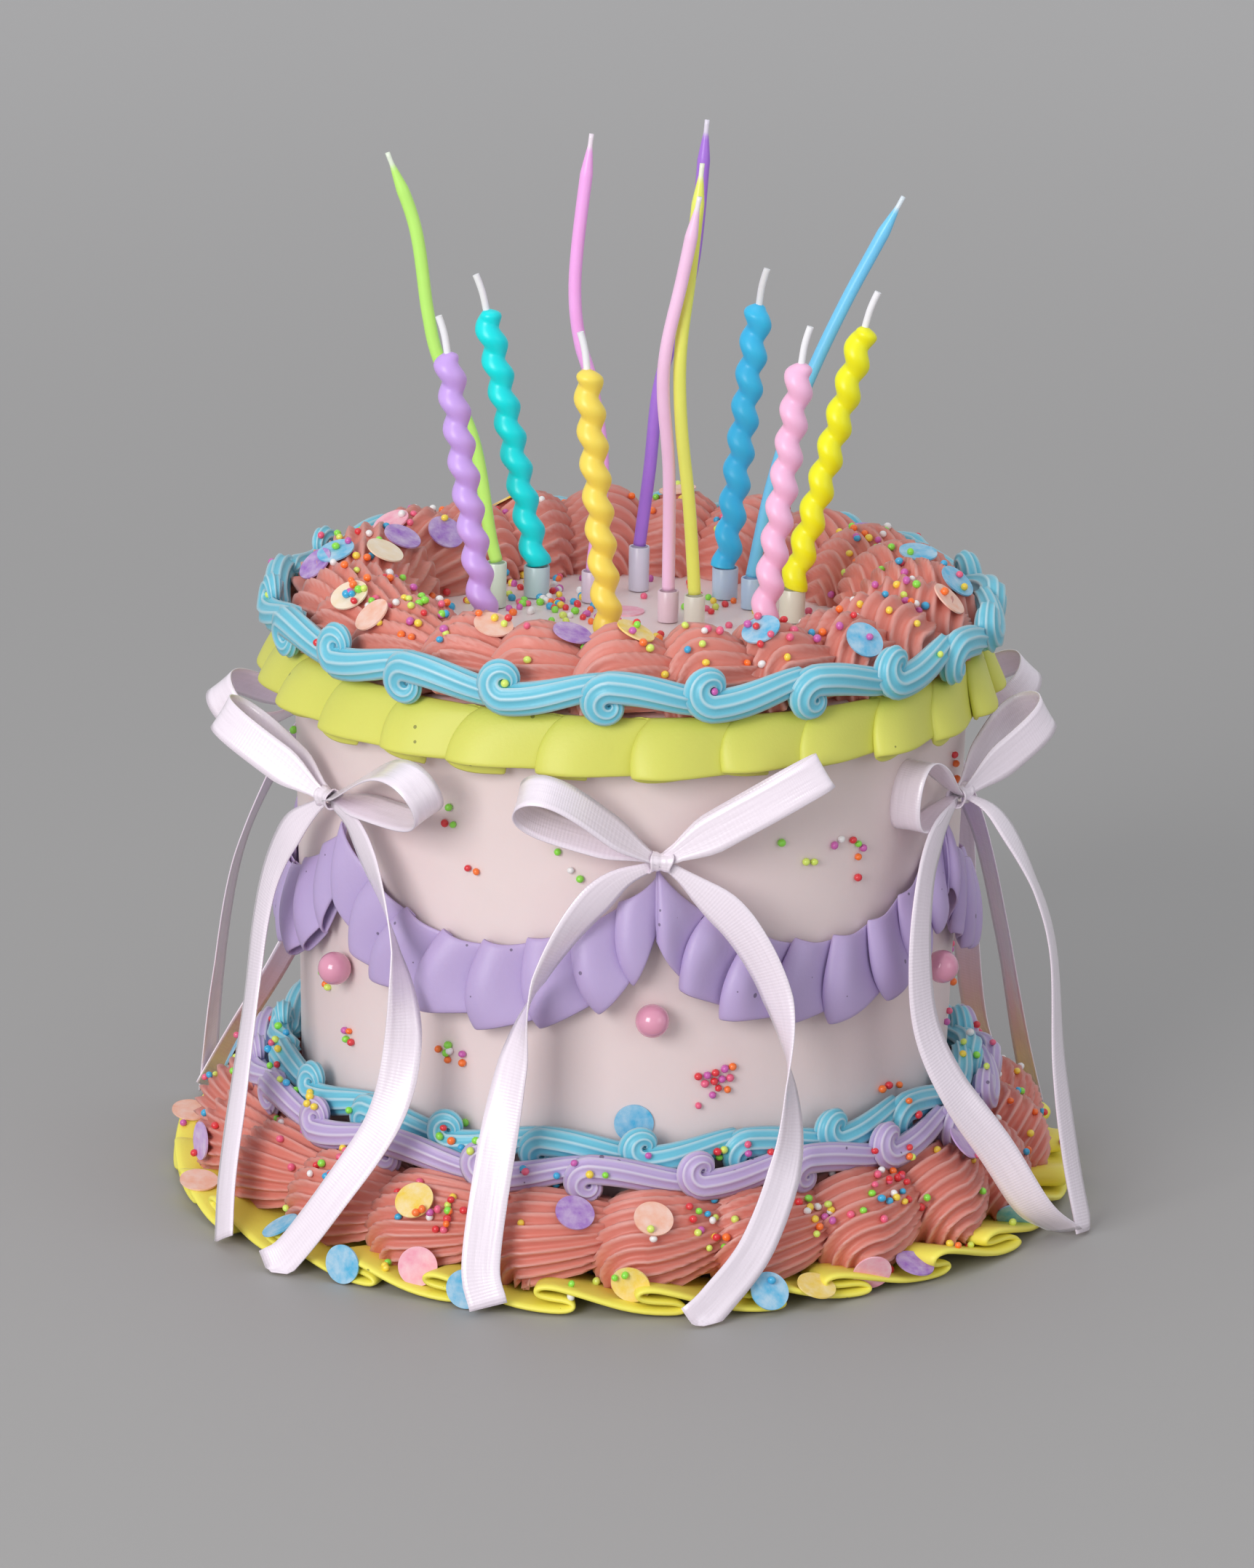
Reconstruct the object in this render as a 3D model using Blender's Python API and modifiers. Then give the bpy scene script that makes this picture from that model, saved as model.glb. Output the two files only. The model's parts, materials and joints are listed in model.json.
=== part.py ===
"""Round party cake with piped borders, swags, satin bows, candles and sprinkles.

Metres, +Z up. The origin is the middle of the cake's flat underside, and -Y is its front.
Azimuths are degrees from the front, positive to the right.
"""

import math
import random

import bpy
from mathutils import Matrix, Vector
from mathutils.bvhtree import BVHTree

MM = 0.001
GAP = 0.3

BODY_BASE_RADIUS = 92.4
BODY_TOP_RADIUS = 96.2
BODY_HEIGHT = 161.0
BODY_SIDES = 64

SHELL_COUNT_TOP = 23
SHELL_FIRST_TOP = -2.7
SHELL_COUNT_BASE = 22
SHELL_FIRST_BASE = 3.6
SHELL_STEPS = 3
SHELL_TOP_HEIGHT = 184.0
SHELL_BASE_HEIGHT = 24.0

RUFFLE_PLEATS = 26
RUFFLE_TOP = 158.3
RUFFLE_BOTTOM = 146.3
RUFFLE_PLEAT_DEPTH = 3.0

BASE_RUFFLE_FOLDS = 28
BASE_RUFFLE_RADIUS = 131.0
BASE_RUFFLE_THICKNESS = 7.8

SCROLL_CURLS = 22
SCROLL_STEPS = 3

BOW_COUNT = 6
BOW_FIRST = 5.0
BOW_STEP = 360.0 / BOW_COUNT
BOW_RADIUS = 101.0
RIBBON_WIDTH = 10.6
RIBBON_THICKNESS = 0.8
RIBBON_FLOOR = 0.7
KNOT_SIZE = (7.4, 5.4, 8.0)
TAIL_STEPS = 5
LOOP_STEPS = 8

SWAG_TOP_AT_BOW = 117.0
SWAG_BOTTOM_AT_BOW = 103.5
SWAG_TOP_SAG = 22.5
SWAG_BOTTOM_SAG = 33.5
SWAG_PLEATS = 8
SWAG_THICKNESS = 2.0
SWAG_MARGIN = 1.4

PEARL_RADIUS = 4.7
PEARL_HEIGHT = 75.5
SPRINKLE_RADIUS = 1.25
DISC_RADIUS = 5.5
DISC_THICKNESS = 1.2
DISC_FLOOR = 0.2

SPIRAL_RADIUS = 3.1
SPIRAL_OFFSET = 1.1
SPIRAL_TURNS = 8
SPIRAL_STEPS = 17
SPIRAL_HOLDER_RADIUS = 3.9
THIN_RADIUS = 1.8
THIN_HOLDER_RADIUS = 3.1
WICK_RADIUS = 1.0
LEAN_ROOM = 1.1

# Ribbon routes, each point as (along the wall, out from the cake's axis, height).
FRONT_LEFT_TAIL = [(-2, 102, 121), (-13, 103, 116), (-25, 104.5, 103), (-35, 106, 85), (-40, 108, 66),
                   (-45, 114, 40), (-49, 124, 14), (-47, 128, 3)]
FRONT_RIGHT_TAIL = [(2, 102, 121), (10, 103, 115), (22, 104.5, 104), (32, 105.5, 86), (36, 108, 66),
                    (36, 114, 42), (27, 126, 20), (15, 135, 7), (8, 139, 1.5)]
LEFT_LEFT_TAIL = [(-2, 102, 125), (-14, 105, 114), (-23, 106, 100), (-26, 108, 84), (-24, 112, 64),
                  (-16, 121, 40), (-6, 131, 18), (2, 137, 3)]
LEFT_RIGHT_TAIL = [(2, 102, 125), (15, 103, 121), (30, 103.5, 105), (40, 104, 86), (45, 106, 66),
                   (45, 112, 46), (38, 124, 24), (29, 133, 6), (24, 137, 1)]
RIGHT_LEFT_TAIL = [(-2, 102, 125), (-17, 103, 119), (-26, 103.5, 108), (-32, 105, 88), (-33, 108, 68),
                   (-29, 115, 50), (-19, 125, 30), (-10, 133, 12), (3, 138, 2)]
RIGHT_RIGHT_TAIL = [(2, 102, 126), (3, 112, 121), (7, 122, 103), (10, 128, 82), (10, 131, 49),
                    (10, 136, 20), (7, 142, 1)]
BACK_LEFT_TAIL = [(-2, 102, 125), (-12, 104, 114), (-23, 109, 92), (-24, 118, 60), (-20, 130, 22),
                  (-18, 137, 2)]
BACK_RIGHT_TAIL = [(2, 102, 125), (6, 109, 111), (5, 124, 78), (1, 133, 38), (-2, 138, 2)]

# Each bow as knot height, its two tails and its two loops. A loop is its length, its rise and its
# swing out from the wall in degrees, how wide it stands open, and how far it is rolled in degrees.
BOWS = {
    "front": (122.0, FRONT_LEFT_TAIL, FRONT_RIGHT_TAIL, (44, 27, 4, 8, 50), (52, 32, 6, 3.4, 10)),
    "right": (126.0, RIGHT_LEFT_TAIL, RIGHT_RIGHT_TAIL, (40, 16, 22, 11, 80), (40, 30, 14, 7, 20)),
    "back_right": (125.0, BACK_LEFT_TAIL, RIGHT_RIGHT_TAIL, (42, 22, 18, 8, 50), (40, 26, 10, 7, 20)),
    "back": (124.0, FRONT_LEFT_TAIL, FRONT_RIGHT_TAIL, (44, 24, 6, 7, 45), (44, 24, 6, 7, 30)),
    "back_left": (125.0, LEFT_LEFT_TAIL, BACK_RIGHT_TAIL, (42, 22, 10, 8, 40), (42, 14, 12, 8, 50)),
    "left": (126.0, LEFT_LEFT_TAIL, LEFT_RIGHT_TAIL, (44, 24, 13, 6, 25), (46, 20, 10, 7, 65)),
}

# Spiral candles as foot (x, y), top of the wax (x, z), holder height and colour.
SPIRAL_CANDLES = {
    "lavender": ((-41.5, -28.0), (-53.0, 245.0), 9.0, (0.55, 0.36, 0.78)),
    "teal": ((-28.0, 35.0), (-43.7, 243.8), 9.0, (0.04, 0.62, 0.55)),
    "orange": ((-6.5, -45.5), (-14.0, 245.0), 9.0, (1.0, 0.62, 0.12)),
    "blue": ((26.5, 37.5), (34.4, 246.5), 9.0, (0.17, 0.50, 0.84)),
    "pink": ((36.5, -32.5), (45.4, 245.0), 9.0, (1.0, 0.50, 0.66)),
    "yellow": ((45.5, 12.0), (64.1, 246.0), 9.5, (0.82, 0.80, 0.03)),
}

# Thin candles as foot (x, y), route up from the holder (x, z), holder height and colour.
THIN_CANDLES = {
    "green": ((-39.5, 22.0), [(-41.5, 183), (-46.5, 210), (-56.5, 233), (-60, 247), (-64, 272),
                              (-72.0, 293)], 13.0, (0.45, 0.85, 0.20)),
    "magenta": ((-12.0, 30.0), [(-9.5, 200), (-13, 225), (-16.5, 237), (-18.3, 250), (-17.8, 266),
                                (-14.4, 298)], 9.0, (0.93, 0.38, 0.78)),
    "purple": ((1.5, 44.5), [(4, 197), (6, 220), (10.5, 239), (15.5, 260), (18.4, 300)], 13.0,
               (0.52, 0.28, 0.80)),
    "rose": ((10.0, 9.0), [(9.5, 205), (7.4, 228), (8, 242), (12, 262), (16.4, 286)], 9.0,
             (1.0, 0.50, 0.68)),
    "lime": ((17.5, 4.0), [(15.3, 197), (12.6, 220), (12, 240), (14.3, 263), (17, 294)], 9.0,
             (0.80, 0.85, 0.20)),
    "sky": ((34.0, 26.0), [(39, 197), (45, 218), (51, 234), (59, 252), (66.5, 267), (74.4, 282.5)],
            9.0, (0.22, 0.62, 0.92)),
}

# Sprinkle clusters on the wall as azimuth, height and number.
WALL_CLUSTERS = [(-31, 129, 2), (-9, 118, 1), (27, 121, 1), (40, 119, 2), (-56, 55, 1), (-30, 60, 2),
                 (15, 56, 3), (53, 42, 2), (88, 101, 1), (120, 60, 1), (150, 118, 1), (165, 50, 1),
                 (-143, 58, 1), (-150, 112, 1), (-95, 110, 1)]
TOP_SPRINKLES = 6
TOP_SPRINKLE_RADII = (22.0, 34.0)

PINK_ICING = ("pink icing", (0.78, 0.66, 0.64), 0.55)
YELLOW_ICING = ("yellow icing", (0.80, 0.82, 0.14), 0.5)
CORAL_ICING = ("coral icing", (0.78, 0.25, 0.18), 0.5)
BLUE_ICING = ("blue icing", (0.25, 0.62, 0.75), 0.5)
LAVENDER_ICING = ("lavender icing", (0.50, 0.33, 0.70), 0.5)
SATIN = ("pale pink satin", (0.85, 0.70, 0.76), 0.35)
PEARL_FINISH = ("pink pearl", (0.82, 0.33, 0.42), 0.25)
WICK_WHITE = ("white wick", (0.85, 0.85, 0.85), 0.7)
HOLDER_WHITE = ("white holder", (0.80, 0.84, 0.86), 0.3)


def clear_scene():
    """Remove the startup objects and start a collection for the cake."""
    for obj in list(bpy.data.objects):
        bpy.data.objects.remove(obj)
    cake = bpy.data.collections.new("sprinkle cake")
    cutters = bpy.data.collections.new("joined pieces")
    bpy.context.scene.collection.children.link(cake)
    bpy.context.scene.collection.children.link(cutters)
    return cake, cutters


def finish(name, colour, roughness):
    """A Principled BSDF with one colour, made once for each name."""
    material = bpy.data.materials.get(name)
    if material is None:
        material = bpy.data.materials.new(name)
        material.use_nodes = True
        shader = material.node_tree.nodes["Principled BSDF"]
        shader.inputs["Base Color"].default_value = (*colour, 1.0)
        shader.inputs["Roughness"].default_value = roughness
        shader.inputs["Metallic"].default_value = 0.0
    return material


def put(obj, name, collection, look):
    """Name an object, move it to its collection, give it its finish and smooth it."""
    obj.name = name
    obj.data.name = name
    for other in list(obj.users_collection):
        other.objects.unlink(obj)
    collection.objects.link(obj)
    obj.data.materials.clear()
    obj.data.materials.append(finish(*look))
    if obj.type == "MESH":
        obj.data.shade_smooth()
        obj.data.set_sharp_from_angle(angle=math.radians(50))
    return obj


def select_only(obj):
    bpy.ops.object.select_all(action="DESELECT")
    obj.select_set(True)
    bpy.context.view_layer.objects.active = obj


def apply_modifiers(obj):
    select_only(obj)
    for modifier in list(obj.modifiers):
        bpy.ops.object.modifier_apply(modifier=modifier.name)


def at(azimuth, radius, height):
    """A point on the cake, in metres, from degrees and millimetres."""
    angle = math.radians(azimuth)
    return Vector((radius * math.sin(angle), -radius * math.cos(angle), height)) * MM


def beside(azimuth, along, out, height):
    """A point in the frame of the wall at one azimuth, in metres from millimetres."""
    angle = math.radians(azimuth)
    return Vector((along * math.cos(angle) + out * math.sin(angle),
                   along * math.sin(angle) - out * math.cos(angle), height)) * MM


def wall_radius(height):
    return BODY_BASE_RADIUS + (BODY_TOP_RADIUS - BODY_BASE_RADIUS) * height / BODY_HEIGHT


def smooth_route(points, steps):
    """Points along a Catmull-Rom curve through the given ones, evenly spread by number."""
    points = [Vector(p) for p in points]
    ends = [points[0] * 2 - points[1]] + points + [points[-1] * 2 - points[-2]]
    spans = len(points) - 1
    route = []
    for step in range(steps + 1):
        place = min(step / steps * spans, spans - 1e-6)
        index = int(place)
        t = place - index
        a, b, c, d = ends[index:index + 4]
        route.append(0.5 * ((2 * b) + (c - a) * t + (2 * a - 5 * b + 4 * c - d) * t * t
                            + (3 * b - a - 3 * c + d) * t ** 3))
    return route


def ring(name, collection, look, around, section):
    """A torus reshaped so that section(turn) gives its outline as (azimuth, radius, height)."""
    across = len(section(0.0))
    bpy.ops.mesh.primitive_torus_add(major_segments=around, minor_segments=across)
    obj = bpy.context.object
    for step in range(around):
        for index, place in enumerate(section(step / around)):
            obj.data.vertices[step * across + index].co = at(*place)
    return put(obj, name, collection, look)


def tube(name, collection, look, points, radius, closed=False, factors=None, sides=6):
    """A rod along a route, as a curve with a round section and filled caps."""
    curve = bpy.data.curves.new(name, "CURVE")
    curve.dimensions = "3D"
    curve.bevel_depth = radius * MM
    curve.bevel_resolution = (sides - 4) // 2
    curve.use_fill_caps = not closed
    spline = curve.splines.new("POLY")
    spline.points.add(len(points) - 1)
    for index, point in enumerate(points):
        spline.points[index].co = (*point, 1.0)
        if factors:
            spline.points[index].radius = factors[index]
    spline.use_cyclic_u = closed
    obj = bpy.data.objects.new(name, curve)
    return put(obj, name, collection, look)


def fuse(obj, helpers, solver="EXACT"):
    """Join every object of a collection to one solid, and remove them."""
    union = obj.modifiers.new("joined", "BOOLEAN")
    union.operation = "UNION"
    union.operand_type = "COLLECTION"
    union.collection = helpers
    union.solver = solver
    apply_modifiers(obj)
    for helper in list(helpers.objects):
        bpy.data.objects.remove(helper)
    obj.data.shade_smooth()
    obj.data.set_sharp_from_angle(angle=math.radians(50))


def sprinkle(collection, centre):
    bpy.ops.mesh.primitive_ico_sphere_add(subdivisions=1, radius=SPRINKLE_RADIUS * MM, location=centre)
    return put(bpy.context.object, "sprinkle", collection, PEARL_FINISH)


def make_body(cake, helpers):
    """The iced cake, slightly wider at the top, with sprinkles stuck to its wall and top."""
    bpy.ops.mesh.primitive_cone_add(vertices=BODY_SIDES, radius1=BODY_BASE_RADIUS * MM,
                                    radius2=BODY_TOP_RADIUS * MM, depth=BODY_HEIGHT * MM,
                                    end_fill_type="TRIFAN", location=(0, 0, BODY_HEIGHT / 2 * MM))
    body = bpy.context.object
    bpy.ops.object.transform_apply(location=True)
    put(body, "cake_body", cake, PINK_ICING)
    draw = random.Random(5)
    for azimuth, height, number in WALL_CLUSTERS:
        for index in range(number):
            turn = azimuth + index * 2.6 + draw.uniform(-0.3, 0.3)
            level = height + (index % 2) * 4.2 - draw.uniform(0, 1.0)
            sprinkle(helpers, at(turn, wall_radius(level) + 0.4, level))
    for index in range(TOP_SPRINKLES):
        radius = TOP_SPRINKLE_RADII[index % len(TOP_SPRINKLE_RADII)]
        sprinkle(helpers, at(index * 360 / TOP_SPRINKLES + 12, radius - 8 * (index % 3), BODY_HEIGHT + 0.4))
    fuse(body, helpers)


def make_top_ruffle(cake):
    """The yellow frill that hangs under the top edge in overlapping pleats."""
    lift = (0.0, 1.0, 0.5)
    around = RUFFLE_PLEATS * len(lift)

    def section(turn):
        azimuth = turn * 360
        pleat = RUFFLE_PLEAT_DEPTH * lift[round(turn * around) % len(lift)]
        return [(azimuth, 104.0 + pleat, RUFFLE_BOTTOM),
                (azimuth, 102.4 + pleat * 0.6, 152.5),
                (azimuth, 100.4, RUFFLE_TOP),
                (azimuth, BODY_TOP_RADIUS + 0.5, RUFFLE_TOP),
                (azimuth, 101.4 + pleat * 0.8, RUFFLE_BOTTOM)]

    ring("yellow_ruffle_top", cake, YELLOW_ICING, around, section)


def shell_section(azimuth, strength, skew, outline, foot, moving):
    """A border's outline whose crown swells and leans round from the foot outwards."""
    places = []
    for index, (radius, height) in enumerate(outline):
        if index in moving:
            radius = foot[0] + (radius - foot[0]) * strength
            height = foot[1] + (height - foot[1]) * strength
        lean = skew * index / len(outline)
        places.append((azimuth + (lean if index in moving else 0.0), radius, height))
    return places


def make_top_shells(cake):
    """The tall coral shells round the top edge, each tucked under the next one's head."""
    outline = [(100.4, 158.8), (97.0, 162.0), (95.6, 173.0), (87.0, 182.0), (76.0, SHELL_TOP_HEIGHT),
               (64.5, 176.0), (59.5, 161.3), (BODY_TOP_RADIUS + 0.5, 161.3),
               (BODY_TOP_RADIUS + 0.5, 158.8)]
    swell = (0.79, 0.99, 0.96)
    around = SHELL_COUNT_TOP * SHELL_STEPS

    def section(turn):
        strength = swell[round(turn * around) % SHELL_STEPS]
        azimuth = turn * 360 + SHELL_FIRST_TOP
        return shell_section(azimuth, strength, 14.0, outline, (79.0, 161.3), (2, 3, 4, 5))

    return ring("coral_shells_top", cake, CORAL_ICING, around, section)


def make_base_shells(cake):
    """The coral shells round the foot, resting on the lower yellow frill."""
    foot_level = BASE_RUFFLE_THICKNESS + GAP + 0.2
    outline = [(122.0, foot_level), (125.3, 12.5), (121.0, 20.0), (113.0, SHELL_BASE_HEIGHT),
               (102.0, 24.2), (99.0, 30.0), (94.0, 30.0), (93.2, foot_level)]
    swell = (0.80, 1.0, 0.95)
    around = SHELL_COUNT_BASE * SHELL_STEPS

    def section(turn):
        strength = swell[round(turn * around) % SHELL_STEPS]
        azimuth = turn * 360 + SHELL_FIRST_BASE
        return shell_section(azimuth, strength, 12.0, outline, (104.0, foot_level), (0, 1, 2, 3))

    return ring("coral_shells_base", cake, CORAL_ICING, around, section)


def make_base_ruffle(cake):
    """The yellow frill that lies round the foot in flat folds."""
    lift = (0.0, 1.0, 0.5)
    around = BASE_RUFFLE_FOLDS * len(lift)

    def section(turn):
        azimuth = turn * 360
        fold = lift[round(turn * around) % len(lift)]
        edge = BASE_RUFFLE_RADIUS + 1.6 * math.sin(math.radians(azimuth) * 5 + 1)
        return [(azimuth, edge - 1.0 + fold, 0.0),
                (azimuth, edge + fold, 2.0 + 3.6 * fold),
                (azimuth, 124.0, BASE_RUFFLE_THICKNESS),
                (azimuth, 93.2, BASE_RUFFLE_THICKNESS),
                (azimuth, 93.2, 0.0)]

    return ring("yellow_ruffle_base", cake, YELLOW_ICING, around, section)


def make_scroll(cake, name, look, first, radius, height, wave, thickness, curl):
    """A rope of icing that winds round the cake in waves, thicker where it curls."""
    steps = SCROLL_CURLS * SCROLL_STEPS
    points = []
    factors = []
    for step in range(steps):
        phase = step * math.pi / SCROLL_STEPS
        azimuth = first + step * 360 / steps
        bulge = curl * abs(math.cos(phase)) ** 3
        points.append(at(azimuth, radius + thickness * bulge, height + wave * math.cos(phase)))
        factors.append(1.0 + bulge)
    return tube(name, cake, look, points, thickness, closed=True, factors=factors)


def make_swag(cake, number, first):
    """One pleated lavender frill, hung from one bow to the next."""
    columns = SWAG_PLEATS * 2
    bpy.ops.mesh.primitive_grid_add(x_subdivisions=columns, y_subdivisions=1, size=1.0)
    swag = bpy.context.object
    span = BOW_STEP - 2 * SWAG_MARGIN
    for vertex in swag.data.vertices:
        across = vertex.co.x + 0.5
        up = vertex.co.y + 0.5
        sag = math.sin(math.pi * across) ** 0.8 if 0 < across < 1 else 0.0
        top = SWAG_TOP_AT_BOW - SWAG_TOP_SAG * sag
        bottom = SWAG_BOTTOM_AT_BOW - SWAG_BOTTOM_SAG * sag
        height = bottom + (top - bottom) * up
        pleat = round(across * columns) % 2
        out = wall_radius(height) + GAP + 0.9 + (1 - up) * (1.4 + 2.6 * pleat)
        azimuth = first + SWAG_MARGIN + span * across + (1 - up) * 0.8 * math.sin(math.pi * across)
        vertex.co = at(azimuth, out, height)
    wall = swag.modifiers.new("thickness", "SOLIDIFY")
    wall.thickness = SWAG_THICKNESS * MM
    wall.offset = -1.0 if swag.data.polygons[0].normal.dot(at(first + BOW_STEP / 2, 1, 0)) < 0 else 1.0
    return put(swag, f"lavender_swag_{number}", cake, LAVENDER_ICING)


def strip(collection, route, widths, across):
    """A flat ribbon along a route, with a width and a direction across it at each point."""
    bpy.ops.mesh.primitive_grid_add(x_subdivisions=len(route) - 1, y_subdivisions=1, size=1.0)
    ribbon = bpy.context.object
    for vertex in ribbon.data.vertices:
        index = round((vertex.co.x + 0.5) * (len(route) - 1))
        vertex.co = route[index] + across[index] * widths[index] * vertex.co.y * MM
        vertex.co.z = max(vertex.co.z, RIBBON_FLOOR * MM)
    wall = ribbon.modifiers.new("thickness", "SOLIDIFY")
    wall.thickness = RIBBON_THICKNESS * MM
    wall.offset = 0.0
    put(ribbon, "ribbon", collection, SATIN)
    apply_modifiers(ribbon)
    return ribbon


def make_tail(collection, azimuth, points, steps):
    """A hanging ribbon end, its face turned away from the cake."""
    route = smooth_route([beside(azimuth, *p) for p in points], steps)
    out = at(azimuth, 1.0 / MM, 0.0)
    across = []
    for index, point in enumerate(route):
        ahead = route[min(index + 1, steps)] - route[max(index - 1, 0)]
        across.append(ahead.cross(out).normalized())
    widths = [RIBBON_WIDTH * min(1.0, 0.5 + 0.25 * index) for index in range(steps + 1)]
    strip(collection, route, widths, across)


def make_loop(collection, azimuth, height, side, length, rise, swing, opening, roll):
    """One loop of a bow: a teardrop route out from the knot and back to it."""
    arm = Vector((side * math.cos(math.radians(rise)) * math.cos(math.radians(swing)),
                  math.sin(math.radians(swing)),
                  math.sin(math.radians(rise)) * math.cos(math.radians(swing))))
    out = Vector((0, 1, 0)) - arm * arm.y
    out = Matrix.Rotation(side * math.radians(roll), 3, arm) @ out.normalized()
    width_way = arm.cross(out).normalized()
    steps = LOOP_STEPS
    start = Vector((0, BOW_RADIUS, height))
    route = []
    widths = []
    for step in range(steps + 1):
        turn = step / steps
        reach = math.sin(math.pi * turn) ** 0.75 * length if 0 < turn < 1 else 0.0
        spread = opening * math.sin(2 * math.pi * turn) * 0.62
        point = start + arm * reach + out * (spread + 1.2 * math.cos(math.pi * turn) + 1.5)
        route.append(beside(azimuth, *point))
        widths.append(RIBBON_WIDTH * (0.5 + 0.5 * min(1.0, reach / 14)))
    way = beside(azimuth, *width_way).normalized()
    strip(collection, route, widths, [way] * (steps + 1))


def make_bow(cake, helpers, name, azimuth, height, left_tail, right_tail, left_loop, right_loop):
    """A knot with two loops and two tails, joined to one ribbon."""
    bpy.ops.mesh.primitive_uv_sphere_add(segments=6, ring_count=4, radius=0.5)
    knot = bpy.context.object
    size = Vector(KNOT_SIZE) * MM
    turn = Matrix.Rotation(math.radians(azimuth), 4, "Z")
    place = Matrix.Translation(at(azimuth, BOW_RADIUS + 1.0, height))
    knot.data.transform(place @ turn @ Matrix.Diagonal((*size, 1.0)))
    put(knot, f"bow_{name}", cake, SATIN)
    make_tail(helpers, azimuth, left_tail, TAIL_STEPS)
    make_tail(helpers, azimuth, right_tail, TAIL_STEPS)
    make_loop(helpers, azimuth, height, -1, *left_loop)
    make_loop(helpers, azimuth, height, 1, *right_loop)
    fuse(knot, helpers)
    return knot


def make_pearl(cake, name, azimuth):
    bpy.ops.mesh.primitive_uv_sphere_add(segments=8, ring_count=5, radius=PEARL_RADIUS * MM)
    pearl = bpy.context.object
    reach = wall_radius(PEARL_HEIGHT) + PEARL_RADIUS + GAP
    pearl.data.transform(Matrix.Translation(at(azimuth, reach, PEARL_HEIGHT)))
    put(pearl, f"pearl_{name}", cake, PEARL_FINISH)


def make_holder(cake, name, foot, radius, height):
    """The small plastic cup that a candle stands in."""
    low = BODY_HEIGHT + GAP
    bpy.ops.mesh.primitive_cylinder_add(vertices=8, radius=radius * MM, depth=height * MM)
    holder = bpy.context.object
    holder.data.transform(Matrix.Translation(Vector((*foot, low + height / 2)) * MM))
    put(holder, f"holder_{name}", cake, HOLDER_WHITE)
    return low + height + GAP


def make_spiral_candle(cake, name, foot, top, holder_height, colour):
    """A twisted candle: a rod whose middle winds round its leaning axis."""
    low = make_holder(cake, name, foot, SPIRAL_HOLDER_RADIUS, holder_height)
    start = Vector((*foot, low + LEAN_ROOM))
    end = Vector((top[0], foot[1], top[1]))
    points = []
    factors = []
    for step in range(SPIRAL_STEPS):
        share = step / (SPIRAL_STEPS - 1)
        turn = share * SPIRAL_TURNS * 2 * math.pi
        fade = min(1.0, 6 * share, 6 * (1 - share))
        offset = Vector((math.cos(turn), math.sin(turn), 0)) * SPIRAL_OFFSET * fade
        points.append((start.lerp(end, share) + offset) * MM)
        factors.append(0.5 if step == SPIRAL_STEPS - 1 else 1.0)
    tube(f"candle_spiral_{name}", cake, (f"wax {name}", colour, 0.4), points, SPIRAL_RADIUS,
         factors=factors)
    lean = (end - start).normalized()
    wick = [end + lean * reach for reach in (1.2, 6.0, 11.0)]
    wick[2].x += 0.6 * math.copysign(1.0, top[0])
    tube(f"wick_{name}", cake, WICK_WHITE, [p * MM for p in wick], WICK_RADIUS, sides=4)


def make_thin_candle(cake, name, foot, route, holder_height, colour):
    """A slim bent candle that ends in a point."""
    low = make_holder(cake, name, foot, THIN_HOLDER_RADIUS, holder_height)
    points = [Vector((*foot, low + LEAN_ROOM))] + [Vector((x, foot[1], z)) for x, z in route]
    points = [p * MM for p in points]
    tip = points[-1]
    points.insert(-1, tip.lerp(points[-2], 0.3))
    factors = [1.0] * (len(points) - 1) + [0.35]
    tube(f"candle_thin_{name}", cake, (f"wax {name} thin", colour, 0.35), points, THIN_RADIUS,
         factors=factors)


def scatter_discs(target, helpers, places):
    """Round wafers stuck flat to a border, each where a line towards the cake's axis meets it."""
    tree = BVHTree.FromObject(target, bpy.context.evaluated_depsgraph_get())
    for azimuth, radius, height, drop in places:
        start = at(azimuth, radius, height)
        way = (at(azimuth, radius - math.cos(math.radians(drop)), height - math.sin(math.radians(drop)))
               - start).normalized()
        hit, normal, _, _ = tree.ray_cast(start, way)
        bpy.ops.mesh.primitive_cylinder_add(vertices=8, radius=DISC_RADIUS * MM,
                                            depth=DISC_THICKNESS * MM)
        disc = bpy.context.object
        turn = normal.to_track_quat("Z", "Y").to_matrix().to_4x4()
        disc.data.transform(Matrix.Translation(hit + normal * 0.15 * MM) @ turn)
        for vertex in disc.data.vertices:
            vertex.co.z = max(vertex.co.z, DISC_FLOOR * MM)
        put(disc, "wafer", helpers, YELLOW_ICING)
    fuse(target, helpers)


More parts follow.
